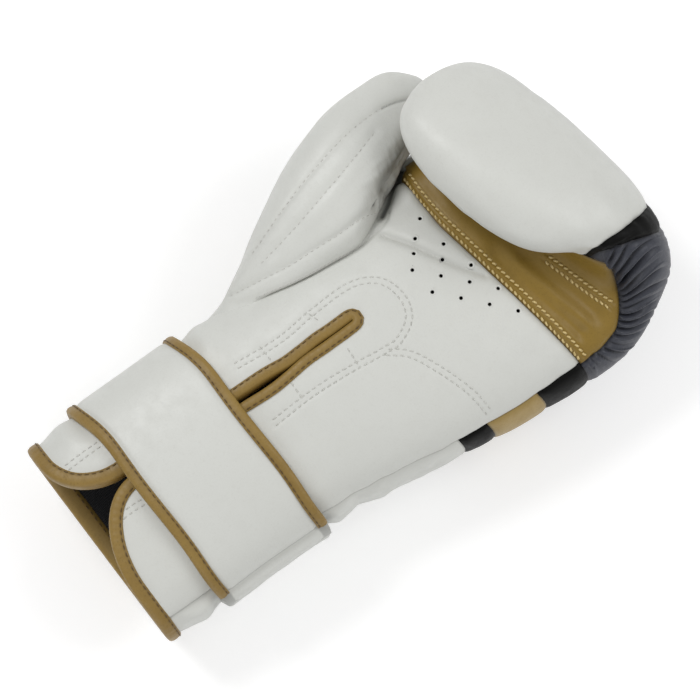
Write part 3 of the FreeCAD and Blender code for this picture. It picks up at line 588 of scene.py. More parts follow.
class Relief:
    """How the leather lies off the plain tube at points p with normals n.

    lift is how far it stands off, near is the distance to a seam or crease and deep grows towards the foot of a fold.
    Both go into the colour: near as a darker line, with dirt and painted shade at seams and painted shade in creases,
    and deep as painted shade.
    """

    def __init__(self, p, n):
        self.p, self.n = p, n
        self.past, self.over = past_knuckle(p), (p - SEAM_AT) @ SEAM_N
        self.inside, self.along = grip_plan(p)
        self.foot = above_grip_foot(p)
        z = p[:, 2]
        self.grip = (self.inside > -0.01) & (self.foot > -0.01) & (z < GRIP_TOP + 0.01) & (self.past > -0.01)
        self.upper = (n[:, 2] > 0.3) & (z > 55) & (z < 91)
        self.seams()
        self.puckers()
        self.pleats()
        self.palm_lines()
        self.grip_folds()
        self.cuff()
        self.crotch()
        self.front()
        self.lift += 0.75 * noise_field(p, 34.0, 0.5) + 0.22 * noise_field(p, 11.0, 5.5)

    def to_plane(self, d, m):
        """The distance along the surface to a plane with normal m that is d away."""
        return np.abs(d) / np.maximum(0.35, np.sqrt(np.maximum(0, 1 - (self.n @ m) ** 2)))

    def to_grip(self):
        """The distance along the surface to the grip panel's free edge."""
        probe = 0.2
        rate = np.stack([(grip_plan(self.p + h)[0] - self.inside) / probe for h in probe * np.eye(3)], -1)
        rate = np.sqrt(np.maximum(0, (rate**2).sum(1) - (rate * self.n).sum(1) ** 2))
        return np.abs(self.inside) / np.clip(rate, 0.3, 1.0)

    def seams(self):
        """The leather swells between its seams and sinks into a groove at each."""
        p, k, q, far = self.p, self.past, self.over, NO_SEAM
        x, _, z = p.T
        on_back, on_fist, beyond = (k < 0.01) & (q < 0.01), k > -0.01, (k > 0) & (self.inside > 0)
        self.knuckle = self.to_plane(k, AHEAD)
        self.side = np.where(k < 0.01, self.to_plane(q, SEAM_N) + 0.4, far)
        self.top = np.where(beyond, np.abs(z - GRIP_TOP), far)
        stripes = [np.where(on_back, self.to_plane((p - a) @ STRIPE_N, STRIPE_N), far) for a in STRIPES]
        beside = on_fist & ~self.grip
        self.band = [np.where(beside, self.to_plane(past_band(p, edge), BAND_N), far) for edge in (0, 1)]
        grooves = [  # distance, depth and width
            (self.knuckle, np.where(q > 0, 1.5, 0.9), 1.6),
            (self.side, 1.0, 1.3),
            *((d, 0.6, 1.3) for d in stripes),
            (np.where(on_fist & (self.foot > -1) & (z < 92), self.to_grip(), far), 1.3, 1.4),
            (np.where(beyond & (x < 0), np.abs(z - GRIP_LOW), far), 0.8, 1.3),
            (self.top, 0.8, 1.3),
            *((d, 1.1, 1.3) for d in self.band),
        ]
        # near also darkens the colour along each seam: dirt and painted shade in its groove.
        self.near = np.minimum.reduce([d for d, _, _ in grooves])
        self.lift = 0.9 * (1 - np.exp(-self.near / 9.0)) - 0.35
        for d, depth, width in grooves:
            self.lift -= depth * bell(d, width, 1.5)

    def pucker(self, d, m, size, depth, reach, seed):
        """What a seam at distance d draws together beside it; m is the normal of the seam's plane."""
        flat = self.p - (self.p @ m)[:, None] * m
        close = d < 3.5 * reach
        value = np.zeros(len(d))
        value[close] = noise_field(flat[close], size, seed) * depth * np.exp(-d[close] / reach)
        return value

    def puckers(self):
        x, _, z = self.p.T
        on_roll = (self.past > 0) & (z > GRIP_TOP)
        near_fold = on_roll & (self.past < 14)
        self.lift += self.pucker(self.side, SEAM_N, 8.0, 0.9, 5.0, 3.1)
        self.lift += self.pucker(self.knuckle, AHEAD, 7.0, 0.5, 4.0, 7.7)
        self.lift += self.pucker(self.band[0], BAND_N, 6.0, 1.3, 7.0, 1.3) * np.where(z > 60, 1.0, 0.4)
        self.lift += self.pucker(np.where(on_roll, self.top, NO_SEAM), UP, 9.0, 1.2, 6.0, 9.2)
        self.lift += self.pucker(np.where(near_fold, self.top, NO_SEAM), UP, 4.0, 3.4, 13.0, 4.9) * bell(x - 42, 14)

    def pleats(self):
        """The gathered leather of the little-finger side, drawn together round the grip panel, with painted shade
        (deep) in the valleys between the pleats.
        """
        p, z = self.p, self.p[:, 2]
        band, grey = past_band(p, 0), past_band(p, 1)
        gathered = (self.past > 0) & ~self.grip & (band > -1.5)
        away = np.hypot(self.inside, 0.6 * np.maximum(0, 80.0 - z))
        share = np.clip(self.along / 46.0, -0.4, 1.3)
        place = self.along - 0.68 * bell(share - 0.45, 0.42) * away * np.exp(-away / 70.0)
        turns = (place + 1.2 * noise_field(p, 16.0, 4.4)) / PLEAT_PITCH
        wave = np.abs(np.cos(math.pi * turns)) ** 0.75
        pleat = np.round(turns + 0.5)
        height = 1.15 + 0.5 * np.sin(pleat * 2.4) + 0.35 * np.sin(pleat * 5.3)
        fade = bell(away, 20.0 + 5 * np.sin(pleat * 1.7), 2.2) * (1 - np.exp(-np.maximum(0, -self.inside)))
        fade *= mix(0.45, 1.0, smooth(38, 60, z)) * smooth(0.0, 5.0, self.past)
        fade *= 0.2 * smooth(-1.5, 2.0, band) + 0.8 * smooth(-1.5, 3.0, grey)
        self.lift += np.where(gathered, (wave - 0.66) * height * fade * 2.8, 0.0)
        self.deep = np.where(gathered, (1 - wave) ** 1.3 * fade * 1.25, 0.0)

    def palm_lines(self):
        """The crease across the palm, the fold that runs on into the thumb, and the stitched lines. The crease and the
        fold get a dark line of painted shade through near.
        """
        p, upper = self.p, self.upper
        d, _ = plan_distance(p, CREASE, 16.0)
        soft = smooth(0, 1, 1 - np.abs((self.past + 14) / 34))
        self.lift -= np.where(upper, (1.2 * bell(d, 2.4) + bell(d, 0.9)) * (0.4 + 0.6 * soft), 0)
        self.near = np.minimum(self.near, np.where(upper, 1.1 * d + 0.55, NO_SEAM))
        d, _ = plan_distance(p, THUMB_FOLD, 10.0)
        self.lift -= np.where(upper, 0.8 * bell(d, 0.9), 0)
        self.near = np.minimum(self.near, np.where(upper, 2.6 * d, NO_SEAM))
        for name, line in PLAN_LINES.items():
            row = curve_through(line)
            offsets = (0.0,) if name.startswith("rung") else (ROW_HALF, -ROW_HALF)
            d = np.minimum.reduce([plan_distance(p, aside(row, o), 6.0)[0] for o in offsets])
            self.lift -= np.where(upper, (0.5 if name.startswith("grip") else 0.38) * bell(d, 0.9), 0)

    def grip_folds(self):
        on_grip = self.grip & self.upper
        d, _ = plan_distance(self.p, curve_through(GRIP_RIDGE), 14.0)
        self.lift += np.where(on_grip, bell(d, 4.2), 0)
        loose = np.where(on_grip, plateau(self.past, 3, 9, 24, 36), 0)
        self.lift += loose * 0.8 * noise_field(self.p, 13.0, 2.2, (0.45, 1.5, 1))
        for line, width, depth in GRIP_FOLDS:
            d, _ = plan_distance(self.p, curve_through(line), 14.0)
            fold = np.where(on_grip, bell(d, width), 0)
            self.lift -= depth * fold
            # deep: painted shade at the foot of each fold
            self.deep = np.maximum(self.deep, 0.14 * fold)

    def cuff(self):
        """Cuff and wrist puff out between their seam and the strap's edges, and where the thumb meets the fist."""
        x, y, z = self.p.T
        edge = (self.over < 0) & (x > 35) & (z > 20) & (self.past < 0)
        puff = humps(y, CUFF_PUFFS) + 1.2 * plateau(y, 95, 112, 140, 165)
        puff += 0.8 * noise_field(self.p, 7.0, 6.6) * (1 - smooth(150, 175, y))
        self.lift += np.where(edge, puff * smooth(0, 6, -self.over) * smooth(20, 40, z), 0)
        self.lift += 3.2 * bell(y - 224, 12) * smooth(-32, -50, x) * plateau(z, 44, 54, 86, 94)

    def crotch(self):
        """The deep fold where the thumb parts from the fist, with painted shade along its foot through near and deep.
        """
        z = self.p[:, 2]
        d, _ = plan_distance(self.p, CROTCH, 14.0)
        d = np.where((z > 45) & (z < 90) & (self.past < 6) & (self.n[:, 2] > 0.1), d, NO_SEAM)
        self.lift -= 3.5 * bell(d, 3.5)
        self.near = np.minimum(self.near, d * 0.55)
        self.deep = np.maximum(self.deep, 0.75 * bell(d, 1.7))

    def front(self):
        """The front of the fist is flatter than the plain tube; the cuff's thumb side swells beside the strap."""
        x, y, z = self.p.T
        self.lift -= 1.5 * smooth(30, 52, self.past) * smooth(-62, -40, x)
        self.lift += smooth(-30, -45, x) * smooth(15, 35, z) * (self.past < 0) * humps(y, THUMB_PUFFS)


def draw_back(p):
    """The roll's rear edge is drawn towards the knuckles, most of all at the thumb side."""
    k = (p - KNUCKLE) @ AHEAD
    amount = np.interp((p - KNUCKLE) @ SIDE, [-80, -45, -5, 30, 60], [6.5, 6.2, 6.2, 7.0, 4.5])
    weight = smooth(88, 101, p[:, 2]) * (1 - smooth(8, 46, k))
    return p + AHEAD * (amount * weight)[:, None]


def shell_net():
    """The tube's grid, finer at the gathered side, cut along every seam."""
    tube = shell_tube(0.0)
    u = tube.rows(0.7)
    heights = tube.at(u, np.full(len(u), 5.0))
    fine = ((heights - KNUCKLE) @ AHEAD > -8) | (u > len(hand_stations()) - 3)
    keep = fine | (np.arange(len(u)) % 2 == 0)
    u = u[keep]
    v = np.concatenate([np.arange(-2.6, 4.6, 0.036), np.arange(4.6, 17.4, 0.062)])
    verts = draw_back(tube.grid(u, v).reshape(-1, 3))
    return capped(verts, grid_faces(len(u), len(v)), len(v))


def shell_panels():
    verts, faces = shell_net()
    verts, faces = split(verts, faces, verts[:, 1])
    faces = faces[middles(verts, faces)[:, 1] > 0]
    cuts = (
        past_knuckle,
        lambda p: np.where(past_knuckle(p) < 0.5, (p - SEAM_AT) @ SEAM_N, 5.0),
        lambda p: np.where((past_knuckle(p) > -0.5) & (p[:, 2] > 30) & (p[:, 2] < 100), grip_plan(p)[0], -50.0),
        lambda p: np.where((past_knuckle(p) > -0.5) & (grip_plan(p)[0] > -0.5), above_grip_foot(p), 50.0),
        lambda p: np.where((past_knuckle(p) > -0.5) & (grip_plan(p)[0] > -0.5), p[:, 2] - GRIP_TOP, 50.0),
    )
    for field in cuts:
        verts, faces = split(verts, faces, field(verts), 0.02)
    for a in STRIPES:
        hand_back = (past_knuckle(verts) < 0.5) & ((verts - SEAM_AT) @ SEAM_N < 0.5)
        verts, faces = split(verts, faces, np.where(hand_back, (verts - a) @ STRIPE_N, 50.0))
    for edge in (0, 1):
        inside = (grip_plan(verts)[0] > 0.2) & (above_grip_foot(verts) > 0.2) & (verts[:, 2] < GRIP_TOP - 0.2)
        out = (past_knuckle(verts) > -0.5) & ~inside
        verts, faces = split(verts, faces, np.where(out, past_band(verts, edge), 50.0), 0.05)
    return verts, faces


def panel_of(c):
    """Which of the PANELS each place on the shell belongs to, by its number."""
    k = past_knuckle(c)
    q = (c - SEAM_AT) @ SEAM_N
    stripe = sum(((c - a) @ STRIPE_N > 0).astype(int) for a in STRIPES)
    band = sum((past_band(c, edge) > 0).astype(int) for edge in (0, 1))
    zone = (grip_plan(c)[0] > 0) & (above_grip_foot(c) > 0) & (c[:, 2] < GRIP_TOP)
    return np.where(k < 0, np.where(q > 0, 0, 1 + stripe), np.where(zone, 5, 6 + band))


PANELS = (
    ("palm_leather", ("palm_cover", "palm_pad"), "white"),
    ("back_leather", ("back_cover", "back_pad"), "white"),
    ("back_stripe_black_lower", ("back_stripe_lower",), "black"),
    ("back_stripe_gold_middle", ("back_stripe_gold",), "side_gold"),
    ("back_stripe_black_upper", ("back_stripe_upper",), "black"),
    ("grip_leather", ("grip_panel",), "gold"),
    ("roll_leather", ("roll_cover", "knuckle_cover", "knuckle_pad", "front_pad", "roll_pad"), "white"),
    ("fist_band_leather", ("fist_band",), "black"),
    ("gathered_leather", ("knuckle_panel",), "grey"),
)


# ---------------------------------------------------------------- building the shell
def drape(tree, line, top):
    """Drops plan points onto a surface from a height. Gives the points and the surface's normals."""
    points, normals = [], []
    for x, y in line[:, :2]:
        hit, normal, _, _ = tree.ray_cast(Vector((x, y, top)), Vector((0, 0, -1)))
        if hit is None:
            hit, normal = Vector((x, y, top)), Vector((0, 0, 1))
        points.append(tuple(hit))
        normals.append(tuple(normal if normal.z > 0 else -normal))
    return np.array(points), np.array(normals)


def calm(values, width, closed=False):
    """A running mean along a line."""
    kernel = np.hanning(2 * width + 3)[1:-1]
    kernel /= kernel.sum()
    mode = "wrap" if closed else "edge"
    padded = np.pad(values, ((width, width), (0, 0)), mode=mode)
    return np.stack([np.convolve(padded[:, k], kernel, mode="valid") for k in range(values.shape[1])], -1)


def new_thread():
    return dict(points=[], faces=[])


def thread_object(name, store):
    return make_object(name, np.array(store["points"]), store["faces"])


TAPE_THREAD = dict(pitch=3.5, length=2.3, radius=0.28, lift=0.0)


def stitch_row(store, points, normals, pitch, length, radius, lift, slant=0.0):
    """Thread along a line: short bent capsules whose ends go down into the leather."""
    line = np.hstack([points, normals])
    gaps = np.linalg.norm(np.diff(points, axis=0), axis=1)
    run = np.concatenate([[0], np.cumsum(gaps)])
    count = int((run[-1] - length) / pitch) + 1
    if count < 1:
        return
    start = 0.5 * (run[-1] - (count - 1) * pitch)
    shares = np.array([-1.0, -0.8, -0.45, 0.0, 0.45, 0.8, 1.0])
    sizes = np.array([0.35, 0.8, 1.0, 1.0, 1.0, 0.8, 0.35])
    rises = np.array([-0.5, -0.1, 0.12, 0.16, 0.12, -0.1, -0.5])
    turns = np.arange(6) * math.pi / 3
    for j in range(count):
        at = start + j * pitch + shares * length / 2
        here = np.stack([np.interp(at, run, line[:, k]) for k in range(6)], -1)
        p, n = here[:, :3], unit(here[:, 3:])
        t = unit(p[-1] - p[0])
        b = unit(np.cross(n, t))
        p = p + b * (shares * slant)[:, None] + n * (lift + rises[:, None] * radius * 2)
        base = len(store["points"])
        for i, size in enumerate(sizes):
            for turn in turns:
                store["points"].append(p[i] + radius * size * (b[i] * math.cos(turn) + n[i] * math.sin(turn)))
        for o in range(base, base + 36, 6):
            for m in range(6):
                q = (m + 1) % 6
                store["faces"].append((o + m, o + q, o + 6 + q, o + 6 + m))
        store["faces"] += [tuple(range(base, base + 6))[::-1], tuple(range(base + 36, base + 42))]


def sweep(points, inward, normals, profile):
    """A band along a closed edge. profile gives, for each row, points (into the leather, out of it)."""
    rows, cols = profile.shape[:2]
    verts = points[:, None] + profile[..., :1] * inward[:, None] + profile[..., 1:] * normals[:, None]
    return verts.reshape(-1, 3), tuples(grid_faces(rows + 1, cols) % (rows * cols))


net, net_faces = shell_panels()
net_normals = skin_normals(net, net_faces)
shell = Relief(net, net_normals)
plain_tree = tree_of(net, net_faces)

# the palm slit in plan, from the cuff to its tip
SLIT_LINE = curve_through(
    [(-14.9, 30), (-12.9, 60), (-11.3, 80), (-10.2, 92.4), (-9.3, 104)]
    + [(-8.5, 118), (-8.7, 127), (-8.6, 137), (-8.2, 147), (-8.1, 156.6)],
    0.8,
)


def slit_path():
    """The free edge of the palm leather in plan: one scoop of the mouth, up and down the slit, the other scoop."""
    y = SLIT_LINE[:, 1]
    half = 0.75 + 1.35 * (1 - smooth(92, 134, y)) + 0.3 * np.sin(y / 5.3) * (1 - smooth(130, 150, y))
    sideways = aside(SLIT_LINE, 1.0) - SLIT_LINE
    left, right = SLIT_LINE + sideways * half[:, None], SLIT_LINE - sideways * half[:, None]
    turn = np.linspace(0, math.pi / 2, 40)

    def scoop(x, foot):
        return np.stack([mix(x, foot[0], np.sin(turn)), foot[1] * (1 - np.cos(turn))], -1)

    over = np.linspace(math.pi, 0, 9)
    cap = SLIT_LINE[-1] + 0.75 * np.stack([np.cos(over), np.sin(over)], -1)
    up, down = scoop(SCOOP_THUMB_X, left[0])[:-1], scoop(SCOOP_LITTLE_X, right[0])[::-1][1:]
    return even(np.vstack([up, left, cap, right[::-1], down]), 0.8)


OPENING = slit_path()


def opening_distance(points):
    """Plan distance to the edge of the slit and scoops, above zero in the leather."""
    out = np.full(len(points), 20.0)
    x, y = points[:, 0], points[:, 1]
    near = np.where((y < 164) & (x > -48) & (x < 36) & (points[:, 2] > 38))[0]
    polygon = np.vstack([OPENING, [[OPENING[-1, 0], -9], [OPENING[0, 0], -9]]])
    a, b = polygon, np.roll(polygon, -1, 0)
    for start in range(0, len(near), 3000):
        block = near[start : start + 3000]
        p = points[block, :2]
        d = np.linalg.norm(p[:, None] - OPENING[None], axis=2).min(1)
        py = p[:, 1][:, None]
        crosses = (a[None, :, 1] > py) != (b[None, :, 1] > py)
        climb = b[:, 1] - a[:, 1]
        slope = (b[:, 0] - a[:, 0]) / np.where(np.abs(climb) < 1e-9, 1e-9, climb)
        at = a[None, :, 0] + slope[None] * (py - a[None, :, 1])
        inside = ((crosses & (at > p[:, :1])).sum(1) % 2) == 1
        out[block] = np.where(inside, -d, d)
    return out


vent_plan = np.array([(x + VENT_STEP[0] * k, y + VENT_STEP[1] * k) for x, y, count in VENTS for k in range(count)])
vent_at, vent_up = drape(tree_of(net + net_normals * shell.lift[:, None], net_faces), vent_plan, 90.0)


def vent_distance(points):
    """Distance to the axis of the nearest vent hole."""
    out = np.full(len(points), 9.0)
    for at, up in zip(vent_at, vent_up):
        close = np.where(np.abs(points - at).max(1) < 3.0)[0]
        away = points[close] - at
        out[close] = np.minimum(out[close], np.linalg.norm(away - (away @ up)[:, None] * up, axis=1))
    return out


# the leather lies flat at its bound edges, and is cut out there and at the vents
free = smooth(5.5, 10, np.minimum(opening_distance(net), net[:, 1]))
rise = np.where(shell.lift > NEAR_EDGE_RISE, mix(NEAR_EDGE_RISE, shell.lift, free), shell.lift)
skin = net + net_normals * rise[:, None]
# the distance to seams and creases and the depth of folds ride along, to colour the leather with dirt and painted shade
# at seams and painted shade in creases and folds
columns = np.hstack([skin, shell.near[:, None], shell.deep[:, None], net])
columns, net_faces = split(columns, net_faces, opening_distance(skin) - EDGE_GAP, 0.05)
columns, net_faces = split(columns, net_faces, vent_distance(columns[:, :3]) - VENT_RADIUS, 0.02)
columns, net_faces = split(columns, net_faces, columns[:, 6] - EDGE_TRIM, 0.05)
skin, seam_and_crease_near, fold_shade, net = columns[:, :3], columns[:, 3], columns[:, 4], columns[:, 5:]
mid = middles(net, net_faces)
cut_out = (mid[:, 1] < EDGE_TRIM) | (opening_distance(mid) < EDGE_GAP)
cut_out |= vent_distance(middles(skin, net_faces)) < VENT_RADIUS
panel = panel_of(mid)

# ---------------------------------------------------------------- binding round the mouth, scoops and slit
def tape_profile(width, wall, inner, top=1.15):
    """The tape's section round an edge: outside face, edge, inside face."""
    bulge = 0.175 * wall
    outside = [(width, -0.3), (width, 0.35), (width - 0.25, 0.72), (width - 0.9, top - 0.2), (width * 0.55, top + 0.05)]
    edge = [(width * 0.25, top), (0.2, top * 0.62), (-0.45, 0.0), (-0.8, -bulge), (-0.9, -0.5 * wall)]
    edge += [(-0.8, bulge - wall), (-0.45, -wall), (0.2, -wall - top * 0.62)]
    inside = [(inner * 0.3, -wall - top), (inner * 0.7, -wall - top), (inner - 0.2, -wall - 0.8), (inner, 0.6 - wall)]
    return np.array(outside + edge + inside)


def cuff_ring():
    """The back of the cuff mouth, between the two scoops: points, directions into the leather and outwards."""
    tube = shell_tube(0.35)
    u = np.linspace(0, 2, 400)
    mouth = np.interp(0.0, tube.at(u, np.zeros(len(u)))[:, 1], u)
    line = tube.grid(np.array([mouth]), np.linspace(0, POINTS_ROUND, 600, endpoint=False))[0]
    line = np.roll(line[::-1], 151, 0)
    keep = ~((line[:, 2] > 38) & (line[:, 0] > SCOOP_THUMB_X) & (line[:, 0] < SCOOP_LITTLE_X))
    start = np.where(np.diff(keep.astype(int)) == 1)[0][0] + 1
    line = even(np.roll(line, -start, 0)[np.roll(keep, -start)], 0.9)
    ahead = np.array([0.0, 1.0, 0.0])
    out = unit(np.cross(unit(np.gradient(line, axis=0)), ahead))
    out *= np.sign(((line - line.mean(0)) * out).sum(1))[:, None]
    return line, np.tile(ahead, (len(line), 1)), out


def palm_edge():
    """The palm's free edge, draped onto the plain tube, with the same two directions."""
    line, out = drape(tree_of(np.asarray(net), net_faces), OPENING, DOWN_FROM)
    line[:, 2] += 0.35
    out = unit(calm(out, 6))
    t = np.gradient(OPENING, axis=0)
    left = unit(np.stack([-t[:, 1], t[:, 0], np.zeros(len(t))], -1))
    left = unit(calm(left, 2))
    return line, unit(left - out * (left * out).sum(1)[:, None]), out


def cuff_binding():
    """The tape round the mouth, scoops and slit, and its two rows of thread."""
    palm, ring_part = palm_edge(), cuff_ring()
    points, inward, normals = (np.vstack(pair) for pair in zip(palm, ring_part))
    on_palm, on_ring = len(palm[0]), len(ring_part[0])
    palm_wall = mix(CUFF_WALL, PALM_WALL, np.clip(palm[0][:, 1] / PALM["y"], 0, 1))
    wall = np.concatenate([palm_wall, np.full(on_ring, CUFF_WALL)])
    points = calm(points, 2, True)
    normals = unit(calm(normals, 4, True))
    inward = unit(calm(inward, 3, True))
    run = np.concatenate([[0], np.cumsum(np.linalg.norm(np.diff(points, axis=0), axis=1))])
    width = TAPE + 1.1 * (1 - smooth(28, 60, points[:, 1]))
    inner = np.concatenate([np.full(on_palm, TAPE), np.full(on_ring, 8.5)])
    inner = calm(inner[:, None], 8, True)[:, 0]
    profile = np.stack([tape_profile(t, w, i) for t, w, i in zip(width, wall, inner)])
    ripple = 1 + 0.07 * np.cos(run * 2 * math.pi / TAPE_THREAD["pitch"])[:, None]
    swell = 0.25 * noise_field(points, 9.0, 8.8)[:, None]
    profile[..., 1] = np.where(profile[..., 1] > 0.3, profile[..., 1] * ripple, profile[..., 1])
    profile[..., 0] += np.where(profile[..., 0] > TAPE * 0.8, 0.5 * swell, 0.2 * swell)
    tape = make_object("cuff_binding", *sweep(points, inward, normals, profile))
    # the colour darkens along the tape's row of stitches: dirt and painted shade in the stitch line
    near = np.abs(tape_profile(TAPE, CUFF_WALL, TAPE)[:, 0] - TAPE_STITCH) + 0.3
    add_column(tape, "seam_dirt_and_shade_distance", np.tile(near, len(points)))
    store, proud = new_thread(), 1.12
    row = points + inward * (width - 1.0)[:, None] + normals * proud
    stitch_row(store, np.vstack([row, row[:1]]), np.vstack([normals, normals[:1]]), **TAPE_THREAD)
    rim = slice(on_palm + 6, len(points) - 6)
    row = points[rim] + inward[rim] * 6.6 - normals[rim] * (wall[rim, None] + proud)
    stitch_row(store, row, -normals[rim], **TAPE_THREAD)
    return tape, store


binding, binding_thread = cuff_binding()
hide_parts("palm_binding", "back_binding")

# ---------------------------------------------------------------- linings
def tube_skin(tube, pitch, cols):
    """A tube's skin, closed at its far end."""
    u = tube.rows(pitch)
    verts = tube.grid(u, np.linspace(0, POINTS_ROUND, cols, endpoint=False)).reshape(-1, 3)
    return capped(verts, grid_faces(len(u), cols), cols)


room_verts, room_faces = tube_skin(room_tube(), 1.8, 220)
stall = Tube(finger_rings(STALL_START + THUMB_LINE[1:], STALL_HALVES, STALL_HEIGHT, STALL_NOSE))
stall_verts, stall_faces = tube_skin(stall, 1.8, 80)
room_tree, stall_tree = tree_of(room_verts, room_faces), tree_of(stall_verts, stall_faces)


def hand_room_lining():
    """The lining of hand and fingers, open at the mouth and slit and where the thumb stall leaves it."""
    more = np.hstack([room_verts, depth_in(room_verts, stall_tree)[:, None]])
    more, faces = split(more, room_faces, more[:, 1] - LINING_TRIM)
    more, faces = split(more, faces, more[:, 3])
    more, faces = split(more, faces, opening_distance(more[:, :3]) - LINING_TRIM)
    verts = more[:, :3]
    mid = middles(verts, faces)
    in_stall = (depth_in(mid, stall_tree) >= 0) & (mid[:, 0] < 0) & (mid[:, 1] > 80)
    kept = (mid[:, 1] > LINING_TRIM) & (opening_distance(mid) > LINING_TRIM) & ~in_stall
    sag = (0.5 * noise_field(verts, 15.0, 6.1) + 0.2) * smooth(9, 22, verts[:, 1])
    sag -= 0.5 * (1 - smooth(6, 16, verts[:, 1]))
    soft = verts - skin_normals(verts, faces) * sag[:, None]
    return make_object("hand_and_finger_lining", *take(soft, faces, kept)[:2])


def thumb_stall_lining():
    """The stall's lining, from the hand's room on. It stays under the hollow that the thumb's root has."""
    deep = depth_in(stall_verts, room_tree)
    normals = skin_normals(stall_verts, stall_faces)
    hollow = 2.8 * bell(stall_verts[:, 1] - 136, 24) * smooth(0.0, 0.5, normals[:, 2])
    more = np.hstack([stall_verts - normals * hollow[:, None], deep[:, None]])
    more, faces = split(more, stall_faces, deep + 0.5)
    outside = depth_in(middles(more[:, :3], faces), room_tree) < -0.5
    return make_object("thumb_stall_lining", *take(more[:, :3], faces, outside)[:2])


hand_lining = hand_room_lining()
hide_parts("hand_lining", "finger_lining", "grip_bar")
thumb_lining = thumb_stall_lining()
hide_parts("thumb_lining")

# ---------------------------------------------------------------- thumb
THUMB_SEAM = curve_through(
    [(-66, 254), (-70, 249), (-75.5, 242), (-78.6, 234), (-79.6, 225), (-79.0, 210), (-77.2, 198)]
    + [(-75.0, 186.5), (-73.0, 176.5), (-70.6, 167), (-68.2, 158), (-63.8, 142), (-60, 126), (-56, 112)]
)
# the two stitched rows on the thumb
THUMB_ROW_A = curve_through(
    [(-71.5, 218), (-70.4, 214), (-67.6, 204), (-64.6, 192), (-62.0, 180)]
    + [(-59.8, 168.5), (-58.2, 158), (-56.6, 144.5), (-55.8, 134), (-55, 124)]
)
THUMB_ROW_B = curve_through(
    [(-42.5, 199), (-43.4, 187), (-43.8, 175), (-45.6, 160), (-46.8, 149), (-49.5, 138), (-51.6, 129), (-54.4, 119)]
)


def union_swell(gap, radius):
    """How far a surface lifts where another one runs into it, so that the two join in a soft hollow."""
    return np.clip(radius - gap, 0, None) ** 2 / (4 * radius)


def join_radius(p):
    """The thumb flows into the wrist at its root and parts from the palm in a sharp fold further on."""
    return mix(9.0, 0.4, smooth(108, 134, p[:, 1]))


def tuck_depth(p):
    """How deep the thumb's leather goes on inside the hand's, so that no gap opens when the thumb swings."""
    return mix(0.5, 9.0, smooth(112, 128, p[:, 1]))


def thumb_relief(verts, normals):
    """The thumb's lift, how near a seam is and how deep in shade each point lies."""
    x, y, z = verts.T
    nx, _, nz = normals.T
    upper, tip, started = smooth(-0.1, 0.35, nz), smooth(222, 238, y), smooth(122, 144, y)
    palmward, outward = smooth(0.05, 0.85, nx), smooth(0.1, 0.9, -nx)

    # the seam round the thumb, the stitched rows and the crisp fold that the palm's crease runs into
    d, place = plan_distance(verts, THUMB_SEAM, 30.0)
    d = d / np.clip(np.abs(nz), 0.25, 1)
    lift = -mix(0.5, 1.3, tip) * started * bell(d, 1.2, 1.5) + 0.5 * (1 - np.exp(-d / 8.0)) - 0.2
    lift += 0.3 * noise_field(np.stack([place * 0.6, 0 * place, z * 0.3], -1), 5.0, 3.3) * np.exp(-d / 3.5)
    for row, depth, size in ((THUMB_ROW_A, 0.4 * started, 1.0), (THUMB_ROW_B, 0.7, 1.2)):
        e, _ = plan_distance(verts, row, 12.0)
        lift -= upper * depth * bell(e, size, 1.6)
        lift += upper * 0.3 * bell(e - 4, 2.6)
    fold, _ = plan_distance(verts, THUMB_FOLD, 12.0)
    beyond = x - np.interp(y, THUMB_FOLD[:, 1], THUMB_FOLD[:, 0])
    lift -= upper * plateau(y, 120, 134, 197, 205) * (0.4 * bell(fold, 1.2) + 2.8 * smooth(0.2, 2.0, beyond))

    # the side towards the palm draws in where the thumb parts from the fist, the other side at the root
    lift -= palmward * np.interp(y, [182, 199, 209, 226, 245], [0, 5.0, 7.5, 7.0, 3.0])
    lift -= outward * np.interp(y, [100, 113, 132, 156, 172], [3.6, 3.8, 3.4, 1.2, 0])
    lift += 1.6 * bell(x + 50, 12) * bell(y - 214, 17) * noise_field(verts, 7.0, 1.9, (1.8, 0.5, 1.0))
    e, _ = plan_distance(verts, CROTCH, 24.0)
    lift += 0.3 * noise_field(verts, 3.2, 6.9, (0.7, 1.6, 1.0)) * bell(e, 9.0) * (y > 196)
    shaded = 0.6 * bell(e, 12.0, 1.4) * smooth(196, 208, y) * smooth(0, 0.5, nx)
    e = np.where(z < 84, e, 14.0)
    lift -= 1.5 * bell(e, 3.0)
    shaded = np.maximum(shaded, 1.1 * bell(e, 1.7))

    # the tip is slimmer, the outside fuller beside it, and all of it a little uneven
    lift -= 2.9 * bell(x + 86, 14) * bell(y - 248, 14)
    lift += outward * (1.3 * bell(y - 209, 14) - 0.4 * bell(y - 155, 18))
    lift += 0.7 * noise_field(verts, 30.0, 2.7) + 0.16 * noise_field(verts, 9.0, 3.9)
    # near puts a dark line into the colour, dirt and painted shade at the seam and painted shade at the crotch and the
    # palm's fold; shaded is painted shade on the palm side beside the crotch and in the crotch itself
    near = np.minimum(np.where(tip > 0.3, d, d + 1.3), 0.45 * e + 0.2)
    near = np.minimum(near, np.where(upper > 0.2, 2.6 * fold, 20.0))
    return lift, near.clip(0, 20), shaded


